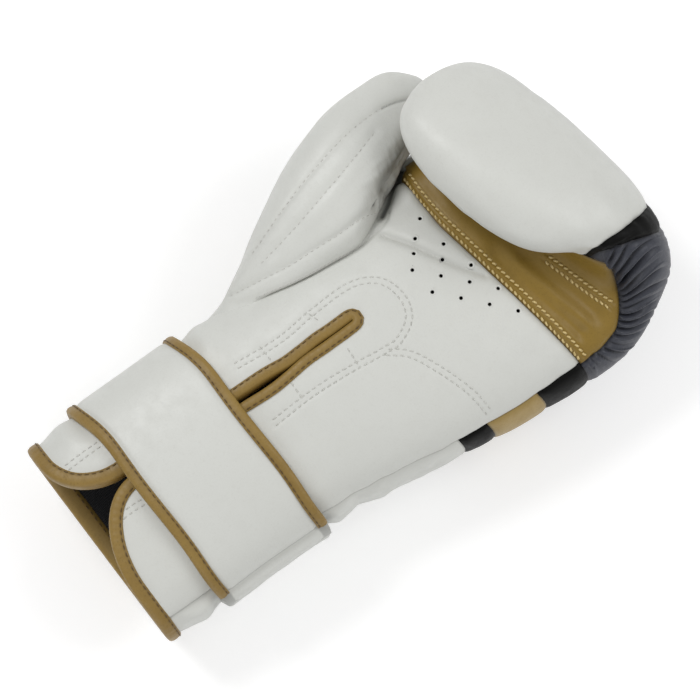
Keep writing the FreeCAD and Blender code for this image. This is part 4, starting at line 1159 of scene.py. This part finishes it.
def thumb_skin():
    """The thumb's leather and the palm's, which rises to meet it at its root."""
    tube = Tube(finger_rings(THUMB_LINE, THUMB_HALVES, THUMB_HEIGHT, THUMB_NOSE))
    verts, faces = tube_skin(tube, 0.8, 210)
    normals = skin_normals(verts, faces)
    lift, near, shade = thumb_relief(verts, normals)
    verts = verts + normals * lift[:, None]
    swell = union_swell(np.abs(depth_in(verts, plain_tree)), join_radius(verts))

    wrist = (net[:, 0] < -15) & (net[:, 1] > 84) & (net[:, 1] < 156) & (net[:, 2] > 15)
    skin_up = skin_normals(skin, net_faces)[wrist]
    gap = np.abs(depth_in(skin[wrist], tree_of(verts, faces)))
    rise = union_swell(gap, join_radius(net[wrist])) * smooth(-0.1, 0.5, skin_up[:, 2])
    skin[wrist] += skin_up * rise[:, None]
    tree = tree_of(skin, net_faces)

    verts = verts + normals * swell[:, None]
    deep = depth_in(verts, tree)
    # a dark line of painted shade where the thumb runs into the palm near the crotch
    near = np.minimum(near, 0.9 * np.abs(deep) + 9.0 * (1 - smooth(196, 206, verts[:, 1])))
    more = np.column_stack([verts, near, shade])
    more, faces = split(more, faces, deep - tuck_depth(verts), 0.02)
    mid = middles(more[:, :3], faces)
    outside = depth_in(mid, tree) < tuck_depth(mid)
    return tree, take(more[:, :3], faces, outside, (more[:, 3], more[:, 4]))


skin_tree, (verts, faces, (near, shade)) = thumb_skin()
thumb = make_object("thumb_leather", verts, faces)
add_column(thumb, "seam_dirt_and_shade_distance", near)
add_column(thumb, "painted_fold_shade", shade)
thumb_tree = BVHTree.FromPolygons([tuple(v) for v in verts.tolist()], faces)
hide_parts("thumb_outer_panel", "thumb_inner_panel", "thumb_outer_pad", "thumb_inner_pad")

MESHES = {}
for number, (name, replaced, look) in enumerate(PANELS):
    mask = (panel == number) & ~cut_out
    verts, faces, (near, deep) = take(skin, net_faces, mask, (seam_and_crease_near, fold_shade))
    obj = make_object(name, verts, faces)
    add_column(obj, "seam_dirt_and_shade_distance", near)
    add_column(obj, "painted_fold_shade", deep)
    MESHES[name] = obj
    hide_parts(*replaced)

# ---------------------------------------------------------------- closure strap
CUFF_0 = Tube([s.ring(0.0) for s in hand_stations()])
CUFF_1 = Tube([s.ring(1.0) for s in hand_stations()])
cuff_u = np.linspace(0, 5, 800)
cuff_y = CUFF_0.at(cuff_u, np.zeros(len(cuff_u)))[:, 1]


def cuff_place(v, y, out):
    """A place on the cuff: round it by v, along it by y, moved outwards."""
    v, y, out = (np.ravel(a) for a in np.broadcast_arrays(v, y, out))
    u = np.interp(y, cuff_y, cuff_u)
    base = CUFF_0.at(u, v)
    return base + (CUFF_1.at(u, v) - base) * out[:, None]


def cuff_v(axis, value, low, high):
    """Where round the strap's line a coordinate has a value."""
    v = np.linspace(low, high, 500)
    c = cuff_place(v, 60.0, STRAP_SEAT + 2)[:, axis]
    order = np.argsort(c)
    return float(np.interp(value, c[order], v[order]))


V_ROOT = cuff_v(2, STRAP_ROOT_Z + 0.4, 0, 3)
V_SEAM = cuff_v(2, SEAM_Z - 0.5, 0, 3)
V_LOW = cuff_v(2, STRAP_ROOT_Z - 15.0, -2, 2)
V_FOLD = cuff_v(2, STRAP_FOLD_Z, 8, 11)
V_END = cuff_v(0, STRAP_TAIL_X + 0.3, 14, 17)


def strap_stations(low, high, pitch):
    v = np.linspace(low, high, 3000)
    line = cuff_place(v, 60.0, 5.0)
    run = np.concatenate([[0], np.cumsum(np.linalg.norm(np.diff(line, axis=0), axis=1))])
    count = int(run[-1] / pitch) + 1
    return np.interp(np.linspace(0, run[-1], count), run, v), run[-1] / (count - 1)


def strap_drift(v):
    """The strap is drawn a little towards the cuff at the thumb side."""
    return -4.5 * smooth(6.2, 9.8, v) + 0.35 * np.sin(v * 2.1)


def round_the_band(v, ys, tops):
    """A band's places round the cuff and along it, the distance to its long edges and its underside."""
    V, Y = np.meshgrid(v, ys, indexing="ij")
    E = np.tile(np.minimum(ys - STRAP_REAR, STRAP_FRONT - ys), (len(v), 1))
    return V, Y, E, (np.arange(len(ys)) >= tops)[None]


def band_noise(V, Y, scales, size, seed):
    places = np.stack([V.ravel() * scales[0], Y.ravel() * scales[1], np.zeros(V.size)], -1)
    return noise_field(places, size, seed).reshape(V.shape)


def band_object(name, V, Y, H, near):
    """A closed skin over a band, its short ends closed by fans."""
    rows, cols = V.shape
    verts = cuff_place(V.ravel(), (Y + strap_drift(V)).ravel(), H.ravel())
    first = np.arange(cols)
    last = first + (rows - 1) * cols
    centres = np.vstack([verts[first].mean(0), verts[last].mean(0)])
    start_fan = fan(first, len(verts))[:, [1, 0, 2, 3]]
    faces = np.vstack([grid_faces(rows, cols), start_fan, fan(last, len(verts) + 1)])
    obj = make_object(name, np.vstack([verts, centres]), tuples(faces))
    # the colour darkens along the band's seam and edges: dirt and painted shade
    add_column(obj, "seam_dirt_and_shade_distance", np.concatenate([near.ravel(), [2, 2]]))
    return obj


def strap_skin():
    """The strap's leather: a padded band round the cuff with rounded ends."""
    v, _ = strap_stations(V_ROOT, V_END, 1.0)
    ys = np.concatenate([np.linspace(STRAP_REAR, STRAP_FRONT, 72), np.linspace(STRAP_FRONT, STRAP_REAR, 24)])
    V, Y, E, under = round_the_band(v, ys, 72)
    top = STRAP_SEAT + STRAP_THICK - 0.25
    H = top + 0.75 * (1 - np.exp(-E / 7.0)) - 0.5 * bell(E - TAPE - 0.4, 0.9)
    H = H + 0.55 * band_noise(V, Y, (6.0, 0.45), 17.0, 1.1) * (1 - np.exp(-E / 10.0))
    to_seam = (V_SEAM - V) * V_LENGTH
    H = H - 1.3 * bell(np.abs(to_seam), 1.2, 1.5)
    H = H + smooth(0.5, 6.0, to_seam) * (2.7 + 0.8 * band_noise(V, Y, (5, 1), 8.0, 5.2))
    ends = np.minimum(V - V_ROOT, V_END - V) * V_LENGTH
    H = np.where(under, STRAP_SEAT, H)
    H = mix(0.5 * (H + STRAP_SEAT), H, quarter_round(ends + 0.25, 1.6))
    H = np.where(under, H, mix(STRAP_SEAT + 1.4, H, quarter_round(E + 0.2, 1.4)))
    return band_object("strap_leather", V, Y, H, np.minimum(E - TAPE + 0.5, np.abs(to_seam)).clip(0, 20))


def root_skin():
    """The sewn root of the strap on the little-finger side, a soft fold that runs out onto the cuff."""
    v, _ = strap_stations(V_LOW, V_ROOT - 0.02, 0.8)
    ys = np.concatenate([np.linspace(STRAP_REAR, STRAP_FRONT, 64), np.linspace(STRAP_FRONT, STRAP_REAR, 20)])
    V, Y, E, under = round_the_band(v, ys, 64)
    share = (V - V_LOW) / (V_ROOT - V_LOW)
    H = mix(1.3, STRAP_SEAT + STRAP_THICK + 2.2, smooth(0, 0.8, share)) + 0.4 * band_noise(V, Y, (7, 0.9), 9.0, 2.2)
    H = mix(0.6, H, quarter_round(E + 0.2, 3.0)) - 2.2 * (1 - smooth(0, 0.3, share))
    H = mix(2.6, np.where(under, 0.5, H), quarter_round((V_ROOT - V) * V_LENGTH + 0.1, 2.2))
    return band_object("strap_root_leather", V, Y, H, (E * 0.6 + 0.5).clip(0, 20))


strap = strap_skin()
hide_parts("strap_cover", "strap_tail", "strap_core")
strap_root = root_skin()
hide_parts("strap_root")


def band_ends(rows, cols):
    last = (rows - 1) * cols
    return [tuple(range(cols)), tuple(range(last, last + cols))[::-1]]


def strap_tape(name, edge_y, outward):
    """Binding tape folded over one long edge of the strap, and its row of thread."""
    v, step = strap_stations(V_SEAM, V_END, 0.9)
    top, seat = STRAP_SEAT + STRAP_THICK, STRAP_SEAT
    upper = [(-TAPE, -0.5), (-TAPE, 0.3), (-TAPE + 0.3, 0.62), (-TAPE + 1.0, 0.5), (-TAPE * 0.5, 0.95)]
    upper += [(-TAPE * 0.2, 0.9), (0.15, 0.35), (0.62, -0.8)]
    lower = [(0.55, 0.7), (0.1, -0.1), (-TAPE * 0.4, -0.25), (-TAPE, -0.2)]
    section = [(a, top + h) for a, h in upper] + [(0.7, 0.5 * (top + seat))] + [(a, seat + h) for a, h in lower]
    across, heights = np.array(section).T
    V = np.repeat(v[:, None], len(section), 1)
    run = np.arange(len(v))[:, None] * step
    wave = 1 + 0.05 * np.cos(run * 2 * math.pi / TAPE_THREAD["pitch"])
    H = np.tile(heights, (len(v), 1))
    H = np.where(H > top, top + (H - top) * wave * (1 + 0.3 * np.sin(run / 7.0)), H)
    verts = cuff_place(V.ravel(), (edge_y + outward * across + strap_drift(V)).ravel(), H.ravel())
    obj = make_object(name, verts, tuples(grid_faces(*V.shape)) + band_ends(*V.shape))
    # the colour darkens along the tape's row of stitches: dirt and painted shade in the stitch line
    add_column(obj, "seam_dirt_and_shade_distance", np.tile(np.abs(-across - TAPE_STITCH) + 0.3, len(v)))
    store = new_thread()
    row_y = edge_y - outward * TAPE_STITCH + strap_drift(v)
    row, above_row = (cuff_place(v, row_y, top + height) for height in (0.72, 1.72))
    stitch_row(store, row, unit(above_row - row), **TAPE_THREAD)
    return obj, store


front_tape, front_thread = strap_tape("strap_tape_front", STRAP_FRONT, 1)
rear_tape, rear_thread = strap_tape("strap_tape_rear", STRAP_REAR, -1)
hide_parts("strap_binding_front", "tail_binding_front")
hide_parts("strap_binding_rear", "tail_binding_rear")


PATCH_INSET = 7.0


def patch_skin(name, high, inside, outside, lumps):
    """A flat piece of fastening tape round the cuff."""
    v, _ = strap_stations(V_PATCH, high, 0.9)
    rear, front, count = STRAP_REAR + PATCH_INSET, STRAP_FRONT - PATCH_INSET, 60
    ys = np.concatenate([np.linspace(rear, front, count), np.linspace(front, rear, count)])
    V, Y, _, under = round_the_band(v, ys, count)
    H = np.where(under, inside, outside + lumps * band_noise(V, Y, (V_LENGTH, 1), 1.6, 0.7))
    verts = cuff_place(V.ravel(), (Y + strap_drift(V)).ravel(), H.ravel())
    return make_object(name, verts, tuples(grid_faces(*V.shape)) + band_ends(*V.shape))


V_PATCH = cuff_v(0, STRAP_TAIL_X - 49.0, 12, 15.5)
hooks = patch_skin("hook_tape", V_END - 0.06, STRAP_SEAT - 0.02, STRAP_SEAT + HOOK_PILE, 0.05)
loops = patch_skin("loop_tape", cuff_v(0, STRAP_TAIL_X + 6.5, 14, 18), 0.1, 0.95, 0.18)
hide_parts("hook_patch")
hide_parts("loop_patch")

# ---------------------------------------------------------------- seams' threads and vent holes
hand_thread, grip_thread, thumb_thread = new_thread(), new_thread(), new_thread()
for name, line in PLAN_LINES.items():
    for side in (0,) if name.startswith("rung") else (1, -1):
        pts, nor = drape(skin_tree, aside(curve_through(line), side * ROW_HALF), 90.0)
        pts, nor = calm(pts, 1), unit(calm(nor, 4))
        if name.startswith("grip"):
            inner = grip_plan(pts)[0] > 1.2
            stitch_row(grip_thread, pts[inner], nor[inner], 2.9, 2.4, 0.58, 0.14, 0.35 * side)
        else:
            stitch_row(hand_thread, pts, nor, 3.3, 2.5, 0.31, 0.02, 0.12 * side)
for line in CUFF_ROWS:
    for side in (1.4, -1.4):
        pts, nor = drape(skin_tree, aside(curve_through(line), side), DOWN_FROM)
        stitch_row(hand_thread, pts, unit(calm(nor, 4)), 3.3, 2.5, 0.3, 0.0)
for line, start in ((THUMB_SEAM, 138), (THUMB_ROW_A, 138), (THUMB_ROW_B, 112)):
    pts, nor = drape(thumb_tree, line, DOWN_FROM)
    good = (pts[:, 2] < DOWN_FROM - 1) & (pts[:, 1] < 236) & (pts[:, 1] > start)
    stitch_row(thumb_thread, calm(pts[good], 2), unit(calm(nor[good], 5)), 3.2, 2.1, 0.27, -0.08)

hand_stitches = thread_object("palm_stitches", hand_thread)
grip_stitches = thread_object("grip_stitches", grip_thread)
thumb_stitches = thread_object("thumb_stitches", thumb_thread)
binding_stitches = thread_object("binding_stitches", binding_thread)
front_stitches = thread_object("strap_stitches_front", front_thread)
rear_stitches = thread_object("strap_stitches_rear", rear_thread)


def vent_rings(name, section, floor_depth=None):
    """A turned ring at each vent. section gives (radius, height); with a floor depth it is a closed cup."""
    verts, faces = [], []
    for p, n in zip(vent_at, vent_up):
        a = unit(np.cross(n, [0.3, 1.0, 0.2]))
        b = np.cross(n, a)
        base = len(verts)
        for radius, height in section:
            for turn in np.arange(20) * math.pi / 10:
                verts.append(p + radius * (a * math.cos(turn) + b * math.sin(turn)) + n * height)
        for i in range(len(section) - 1):
            for m in range(20):
                o, q = base + 20 * i, (m + 1) % 20
                faces.append((o + m, o + q, o + 20 + q, o + 20 + m))
        if floor_depth is not None:
            verts.append(p - n * floor_depth)
            o = base + 20 * (len(section) - 1)
            faces += [(o + m, o + (m + 1) % 20, len(verts) - 1) for m in range(20)]
    obj = make_object(name, np.array(verts), faces)
    add_column(obj, "seam_dirt_and_shade_distance", np.full(len(verts), 9.0))
    return obj


# the cups are the holes' white leather, coloured near black as painted shade inside each vent hole
vents = vent_rings("vent_holes", ((1.0, -0.28), (0.85, -0.5), (0.8, -0.9), (0.7, -1.7)), 1.9)
LIP = ((2.1, -0.3), (1.9, -0.04), (1.55, 0.09), (1.2, 0.06), (0.95, -0.1), (0.86, -0.34), (0.9, -0.7))
vent_lips = vent_rings("vent_lips", LIP)

# ---------------------------------------------------------------- materials
def linear(colour):
    """sRGB 0-255 to linear."""
    c = np.asarray(colour, float) / 255
    return tuple(np.where(c <= 0.04045, c / 12.92, ((c + 0.055) / 1.055) ** 2.4)) + (1.0,)


class Nodes:
    """A material's node tree, with a short way to add and join nodes."""

    def __init__(self, name):
        self.material = bpy.data.materials.new(name)
        self.material.use_nodes = True
        self.tree = self.material.node_tree
        self.tree.nodes.clear()
        self.output = self.add("ShaderNodeOutputMaterial")
        self.coords = self.add("ShaderNodeTexCoord").outputs["Object"]

    def add(self, kind, **settings):
        node = self.tree.nodes.new(kind)
        for key, value in settings.items():
            setattr(node, key, value)
        return node

    def join(self, out, socket):
        self.tree.links.new(out, socket)

    def put(self, value, socket):
        if isinstance(value, bpy.types.NodeSocket):
            self.join(value, socket)
        else:
            socket.default_value = value

    def noise(self, scale, detail=3.0, rough=0.55, vector=None):
        node = self.add("ShaderNodeTexNoise")
        self.join(vector or self.coords, node.inputs["Vector"])
        node.inputs["Scale"].default_value = scale
        node.inputs["Detail"].default_value = detail
        node.inputs["Roughness"].default_value = rough
        return node.outputs["Fac"]

    def cells(self, scale, feature="F1", vector=None):
        node = self.add("ShaderNodeTexVoronoi", feature=feature)
        self.join(vector or self.coords, node.inputs["Vector"])
        node.inputs["Scale"].default_value = scale
        return node.outputs["Distance"]

    def span(self, value, a, b, c, d):
        node = self.add("ShaderNodeMapRange", interpolation_type="SMOOTHSTEP")
        self.join(value, node.inputs["Value"])
        for key, number in (("From Min", a), ("From Max", b), ("To Min", c), ("To Max", d)):
            node.inputs[key].default_value = number
        return node.outputs["Result"]

    def math(self, operation, a, b=0.0):
        node = self.add("ShaderNodeMath", operation=operation)
        self.put(a, node.inputs[0])
        self.put(b, node.inputs[1])
        return node.outputs[0]

    def blend(self, factor, a, b):
        node = self.add("ShaderNodeMix", data_type="RGBA")
        self.put(factor, node.inputs["Factor"])
        self.put(a, node.inputs["A"])
        self.put(b, node.inputs["B"])
        return node.outputs["Result"]

    def attribute(self, name):
        return self.add("ShaderNodeAttribute", attribute_name=name).outputs["Fac"]

    def bump(self, height, distance, strength=1.0, under=None):
        node = self.add("ShaderNodeBump")
        node.inputs["Strength"].default_value = strength
        node.inputs["Distance"].default_value = distance
        self.join(height, node.inputs["Height"])
        if under is not None:
            self.join(under, node.inputs["Normal"])
        return node.outputs["Normal"]

    def surface(self, colour, roughness, normal, **sockets):
        shader = self.add("ShaderNodeBsdfPrincipled")
        self.put(colour, shader.inputs["Base Color"])
        self.put(roughness, shader.inputs["Roughness"])
        self.join(normal, shader.inputs["Normal"])
        for key, value in sockets.items():
            shader.inputs[key.replace("_", " ")].default_value = value
        self.join(shader.outputs["BSDF"], self.output.inputs["Surface"])
        return self.material


def leather(name, colour, dark, pale, gloss, seam=0.6, grain=1300.0, specular=0.42, coat=0.04):
    """Coated leather: pebble grain, soft wrinkles, paler clouds and darker mottling at random, a darker tone and a dark
    line near seams and creases (dirt and painted shade at seams, painted shade in creases), and painted shade at the
    foot of folds.
    """
    m = Nodes(name)
    cloud = m.noise(22.0, 3.0)
    mottled = m.noise(150.0, 4.0, 0.6)
    pits = m.cells(grain, "SMOOTH_F1")
    tone = m.blend(m.span(cloud, 0.35, 0.68, 0.0, 0.5), linear(colour), linear(pale))
    tone = m.blend(m.span(mottled, 0.4, 0.75, 0.0, 0.16), tone, linear(dark))
    tone = m.blend(m.span(pits, 0.45, 0.8, 0.0, 0.25), tone, linear(dark))
    near = m.attribute("seam_dirt_and_shade_distance")
    shade = tuple(0.16 * c for c in linear(dark)[:3]) + (1.0,)
    # painted shade: darker within 6 mm of a seam or crease, a near-black line in it whose strength is seam, and near
    # black at the foot of folds; at seams it stands for dirt as well
    tone = m.blend(m.span(near, 0.0, 6.0, 0.25, 0.0), tone, linear(dark))
    tone = m.blend(m.span(near, 0.1, 1.1, seam, 0.0), tone, shade)
    tone = m.blend(m.span(m.attribute("painted_fold_shade"), 0.15, 0.9, 0.0, 0.85), tone, shade)
    rough = m.math("ADD", m.span(mottled, 0.3, 0.7, gloss - 0.05, gloss + 0.07), m.span(pits, 0.2, 0.8, 0.0, 0.06))
    folds = m.noise(210.0, 3.0, 0.5)
    normal = m.bump(folds, 0.00014, 0.7, m.bump(pits, 0.00005, 0.7))
    return m.surface(tone, rough, normal, Specular_IOR_Level=specular, IOR=1.47, Coat_Weight=coat, Coat_Roughness=0.4)


def knit(name, colour, pale, pitch):
    """Close knitted lining: rows of small loops."""
    m = Nodes(name)
    split_out = m.add("ShaderNodeSeparateXYZ")
    m.join(m.coords, split_out.inputs[0])
    rows = m.math("SINE", m.math("MULTIPLY", split_out.outputs["X"], 2 * math.pi / pitch))
    lines = m.math("SINE", m.math("MULTIPLY", split_out.outputs["Y"], 2 * math.pi / (0.7 * pitch)))
    loops = m.math("MULTIPLY", m.math("ABSOLUTE", rows), m.math("ABSOLUTE", lines))
    fuzz = m.noise(900.0, 3.0)
    cloud = m.noise(40.0, 3.0)
    tone = m.blend(m.span(loops, 0.1, 0.8, 0.0, 0.7), linear(colour), linear(pale))
    tone = m.blend(m.span(cloud, 0.4, 0.7, 0.0, 0.4), tone, linear(colour))
    normal = m.bump(fuzz, 0.0002, 0.5, m.bump(loops, 0.0004, 0.8))
    rough = m.span(fuzz, 0.3, 0.7, 0.82, 0.96)
    return m.surface(tone, rough, normal, Specular_IOR_Level=0.2, Sheen_Weight=0.25, Sheen_Roughness=0.5)


def thread(name, colour, dark):
    """Twisted thread: fine slanting strands."""
    m = Nodes(name)
    mapping = m.add("ShaderNodeMapping")
    mapping.inputs["Rotation"].default_value = (0.6, 0.4, 0.7)
    m.join(m.coords, mapping.inputs["Vector"])
    wave = m.add("ShaderNodeTexWave", bands_direction="DIAGONAL")
    m.join(mapping.outputs["Vector"], wave.inputs["Vector"])
    wave.inputs["Scale"].default_value = 700.0
    wave.inputs["Distortion"].default_value = 2.0
    strands = wave.outputs["Fac"]
    fuzz = m.noise(2600.0, 2.0)
    tone = m.blend(m.span(strands, 0.15, 0.8, 0.55, 0.0), linear(colour), linear(dark))
    tone = m.blend(m.span(fuzz, 0.4, 0.75, 0.0, 0.3), tone, linear(dark))
    rough, normal = m.span(fuzz, 0.3, 0.7, 0.5, 0.7), m.bump(strands, 0.0001, 0.8)
    return m.surface(tone, rough, normal, Specular_IOR_Level=0.35, Sheen_Weight=0.1, Sheen_Roughness=0.4)


def pile(name, colour, pale, scale):
    """Fastening tape: a mat of tiny loops or hooks."""
    m = Nodes(name)
    loops = m.cells(scale, "F1")
    clumps = m.noise(260.0, 4.0)
    tone = m.blend(m.span(loops, 0.1, 0.7, 0.0, 0.7), linear(pale), linear(colour))
    tone = m.blend(m.span(clumps, 0.4, 0.7, 0.0, 0.5), tone, linear(colour))
    normal = m.bump(clumps, 0.0005, 0.6, m.bump(loops, 0.0006, 0.9))
    rough = m.span(clumps, 0.3, 0.7, 0.75, 0.95)
    return m.surface(tone, rough, normal, Specular_IOR_Level=0.25, Sheen_Weight=0.2, Sheen_Roughness=0.5)


LOOKS = dict(
    white=leather("white_leather_look", (205, 206, 201), (194, 194, 188), (208, 209, 204), 0.44, 0.4),
    black=leather("black_leather_look", (12, 12, 11), (7, 7, 6), (18, 18, 17), 0.47, 0.6, specular=0.1, coat=0.0),
    gold=leather("gold_leather_look", (133, 107, 42), (106, 83, 28), (143, 116, 50), 0.46, specular=0.36),
    side_gold=leather("side_gold_leather_look", (158, 134, 80), (130, 108, 58), (166, 142, 88), 0.46),
    grey=leather("grey_leather_look", (58, 60, 68), (32, 33, 38), (68, 70, 78), 0.42, specular=0.3, coat=0.02),
    tape=leather("gold_binding_look", (141, 114, 56), (94, 73, 32), (154, 127, 68), 0.48, 0.35, 1500.0),
    lining=knit("knitted_lining_look", (15, 15, 17), (40, 40, 43), 0.0022),
    white_thread=thread("white_thread_look", (214, 214, 208), (150, 150, 144)),
    pale_gold_thread=thread("pale_gold_thread_look", (222, 200, 142), (160, 134, 78)),
    gold_thread=thread("gold_thread_look", (104, 80, 42), (62, 46, 22)),
    loops=pile("loop_pile_look", (18, 18, 19), (52, 52, 54), 1500.0),
    hooks=pile("hook_tape_look", (20, 20, 21), (58, 58, 60), 1900.0),
    # near black: painted shade inside the vent holes, whose walls are white leather
    hole_shade=leather("vent_hole_shade_look", (14, 13, 12), (6, 6, 6), (30, 29, 26), 0.8, specular=0.1),
)

# ---------------------------------------------------------------- each piece's look; a piece on one body hangs from it, one between two bodies only has its place baked
FOLD_START, FOLD_END = row_frame(KNUCKLE - AHEAD * 45.0), row_frame(KNUCKLE + AHEAD * 2.0)
ROOT_START, ROOT_END = row_frame(np.array([-44.0, 104.0, 50.0])), row_frame(np.array([-54.0, 135.0, 58.0]))
TAIL_START = row_frame(cuff_place(V_FOLD - 0.35, 60.0, 3.0)[0])
TAIL_END = row_frame(cuff_place(V_FOLD + 0.35, 60.0, 3.0)[0])


CARRIERS = dict(
    fold=("hand", "fist", FOLD_START, FOLD_END),
    root=("hand", "thumb", ROOT_START, ROOT_END),
    tail=("strap_span", "strap_tail", TAIL_START, TAIL_END),
)
# object, look, slot, what carries it, how full the padding is
PIECES = [(MESHES[name], look, look.replace("side_", "") + "_leather", "fold", 0.9) for name, _, look in PANELS]
PIECES += [
    (thumb, "white", "white_leather", "root", 0.9),
    (strap, "white", "white_leather", "tail", 0.5),
    (strap_root, "white", "white_leather", "hand", 0.5),
    (binding, "tape", "gold_binding", "hand", None),
    (front_tape, "tape", "gold_binding", "tail", None),
    (rear_tape, "tape", "gold_binding", "tail", None),
    (hand_lining, "lining", "lining", "fold", None),
    (thumb_lining, "lining", "lining", "root", None),
    (hand_stitches, "white_thread", "white_leather", "fold", None),
    (grip_stitches, "pale_gold_thread", "gold_leather", "fold", None),
    (thumb_stitches, "white_thread", "white_leather", "root", None),
    (binding_stitches, "gold_thread", "gold_binding", "hand", None),
    (front_stitches, "gold_thread", "gold_binding", "tail", None),
    (rear_stitches, "gold_thread", "gold_binding", "tail", None),
    (loops, "loops", "loop_pile", "hand", None),
    (hooks, "hooks", "hook_tape", "strap_tail", None),
    (vents, "hole_shade", "white_leather", "fold", None),
    (vent_lips, "white", "white_leather", "fold", None),
]
for obj, look, slot_name, carrier, fill in PIECES:
    obj.data.materials.clear()
    obj.data.materials.append(LOOKS[look])
    if carrier in CARRIERS:
        first, second, start, end = CARRIERS[carrier]
        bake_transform(obj)
        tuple(start)
        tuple(end)
    else:
        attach(obj, carrier)

# ---------------------------------------------------------------- floor, light and camera
CAMERA_TARGET = Vector((0.007151, -0.000714, 0.049371))
CAMERA_AZIMUTH, CAMERA_ELEVATION, CAMERA_DISTANCE = math.radians(52.6), math.radians(80.0), 1.5
floor_mesh = bpy.data.meshes.new("floor")
floor_mesh.from_pydata([(-6, -6, 0), (6, -6, 0), (6, 6, 0), (-6, 6, 0)], [], [(0, 1, 2, 3)])
floor = bpy.data.objects.new("floor", floor_mesh)
floor.location.z = cad_box[0][2] - 0.0006
SCENE.collection.objects.link(floor)


def seen(m):
    """1 for a ray from the camera or a reflection, 0 for other light."""
    path = m.add("ShaderNodeLightPath")
    total = m.math("ADD", path.outputs["Is Camera Ray"], path.outputs["Is Glossy Ray"])
    node = m.add("ShaderNodeMath", operation="ADD", use_clamp=True)
    m.join(total, node.inputs[0])
    m.join(path.outputs["Is Transmission Ray"], node.inputs[1])
    return node.outputs[0]


ground = Nodes("floor_look")
diffuse = ground.add("ShaderNodeBsdfDiffuse")
diffuse.inputs["Color"].default_value = (0.82, 0.82, 0.82, 1)
glow = ground.add("ShaderNodeEmission")
radius = ground.add("ShaderNodeVectorMath", operation="LENGTH")
ground.join(ground.coords, radius.inputs[0])
spread = ground.span(radius.outputs["Value"], 0.3, 1.2, 0.34, 1.0)
ground.join(ground.math("MULTIPLY", seen(ground), spread), glow.inputs["Strength"])
both = ground.add("ShaderNodeAddShader")
ground.join(diffuse.outputs[0], both.inputs[0])
ground.join(glow.outputs[0], both.inputs[1])
ground.join(both.outputs[0], ground.output.inputs["Surface"])
floor_mesh.materials.append(ground.material)

world = bpy.data.worlds.new("studio")
SCENE.world = world
world.use_nodes = True
sky = world.node_tree
sky.nodes.clear()
path = sky.nodes.new("ShaderNodeLightPath")
total = sky.nodes.new("ShaderNodeMath")
total.operation = "ADD"
total.use_clamp = True
sky.links.new(path.outputs["Is Camera Ray"], total.inputs[0])
sky.links.new(path.outputs["Is Transmission Ray"], total.inputs[1])
level = sky.nodes.new("ShaderNodeMapRange")
sky.links.new(total.outputs[0], level.inputs["Value"])
level.inputs["To Min"].default_value = 0.45
level.inputs["To Max"].default_value = 1.0
back = sky.nodes.new("ShaderNodeBackground")
back.inputs["Color"].default_value = (1, 1, 1, 1)
sky.links.new(level.outputs["Result"], back.inputs["Strength"])
sky.links.new(back.outputs[0], sky.nodes.new("ShaderNodeOutputWorld").inputs["Surface"])


level_part = math.cos(CAMERA_ELEVATION)
toward = Vector((level_part * math.sin(CAMERA_AZIMUTH), -level_part * math.cos(CAMERA_AZIMUTH), 0.0))
toward.z = math.sin(CAMERA_ELEVATION)
across = Vector((math.cos(CAMERA_AZIMUTH), math.sin(CAMERA_AZIMUTH), 0.0))
above = toward.cross(across)


def soft_light(name, place, size, power):
    data = bpy.data.lights.new(name, "AREA")
    data.shape = "DISK"
    data.size, data.energy = size, power
    lamp = bpy.data.objects.new(name, data)
    lamp.location = CAMERA_TARGET + place
    lamp.rotation_euler = (-place).to_track_quat("-Z", "Y").to_euler()
    SCENE.collection.objects.link(lamp)


soft_light("key", -across * 0.75 + above * 0.75 + toward * 1.1, 0.6, 9.5)
soft_light("fill", across * 1.0 + above * 0.35 + toward * 1.0, 0.9, 7.0)
soft_light("low", -across * 0.2 - above * 1.2 + toward * 0.7, 0.8, 3.5)

camera_data = bpy.data.cameras.new("camera")
camera_data.lens, camera_data.sensor_width = 162.5, 36.0
camera_data.clip_start, camera_data.clip_end = 0.01, 100.0
camera = bpy.data.objects.new("camera", camera_data)
camera.matrix_world = Matrix.Translation(CAMERA_TARGET + toward * CAMERA_DISTANCE) @ Matrix(
    (across, above, toward)
).transposed().to_4x4()
SCENE.collection.objects.link(camera)
SCENE.camera = camera
SCENE.view_settings.view_transform = "Standard"

bpy.context.view_layer.update()
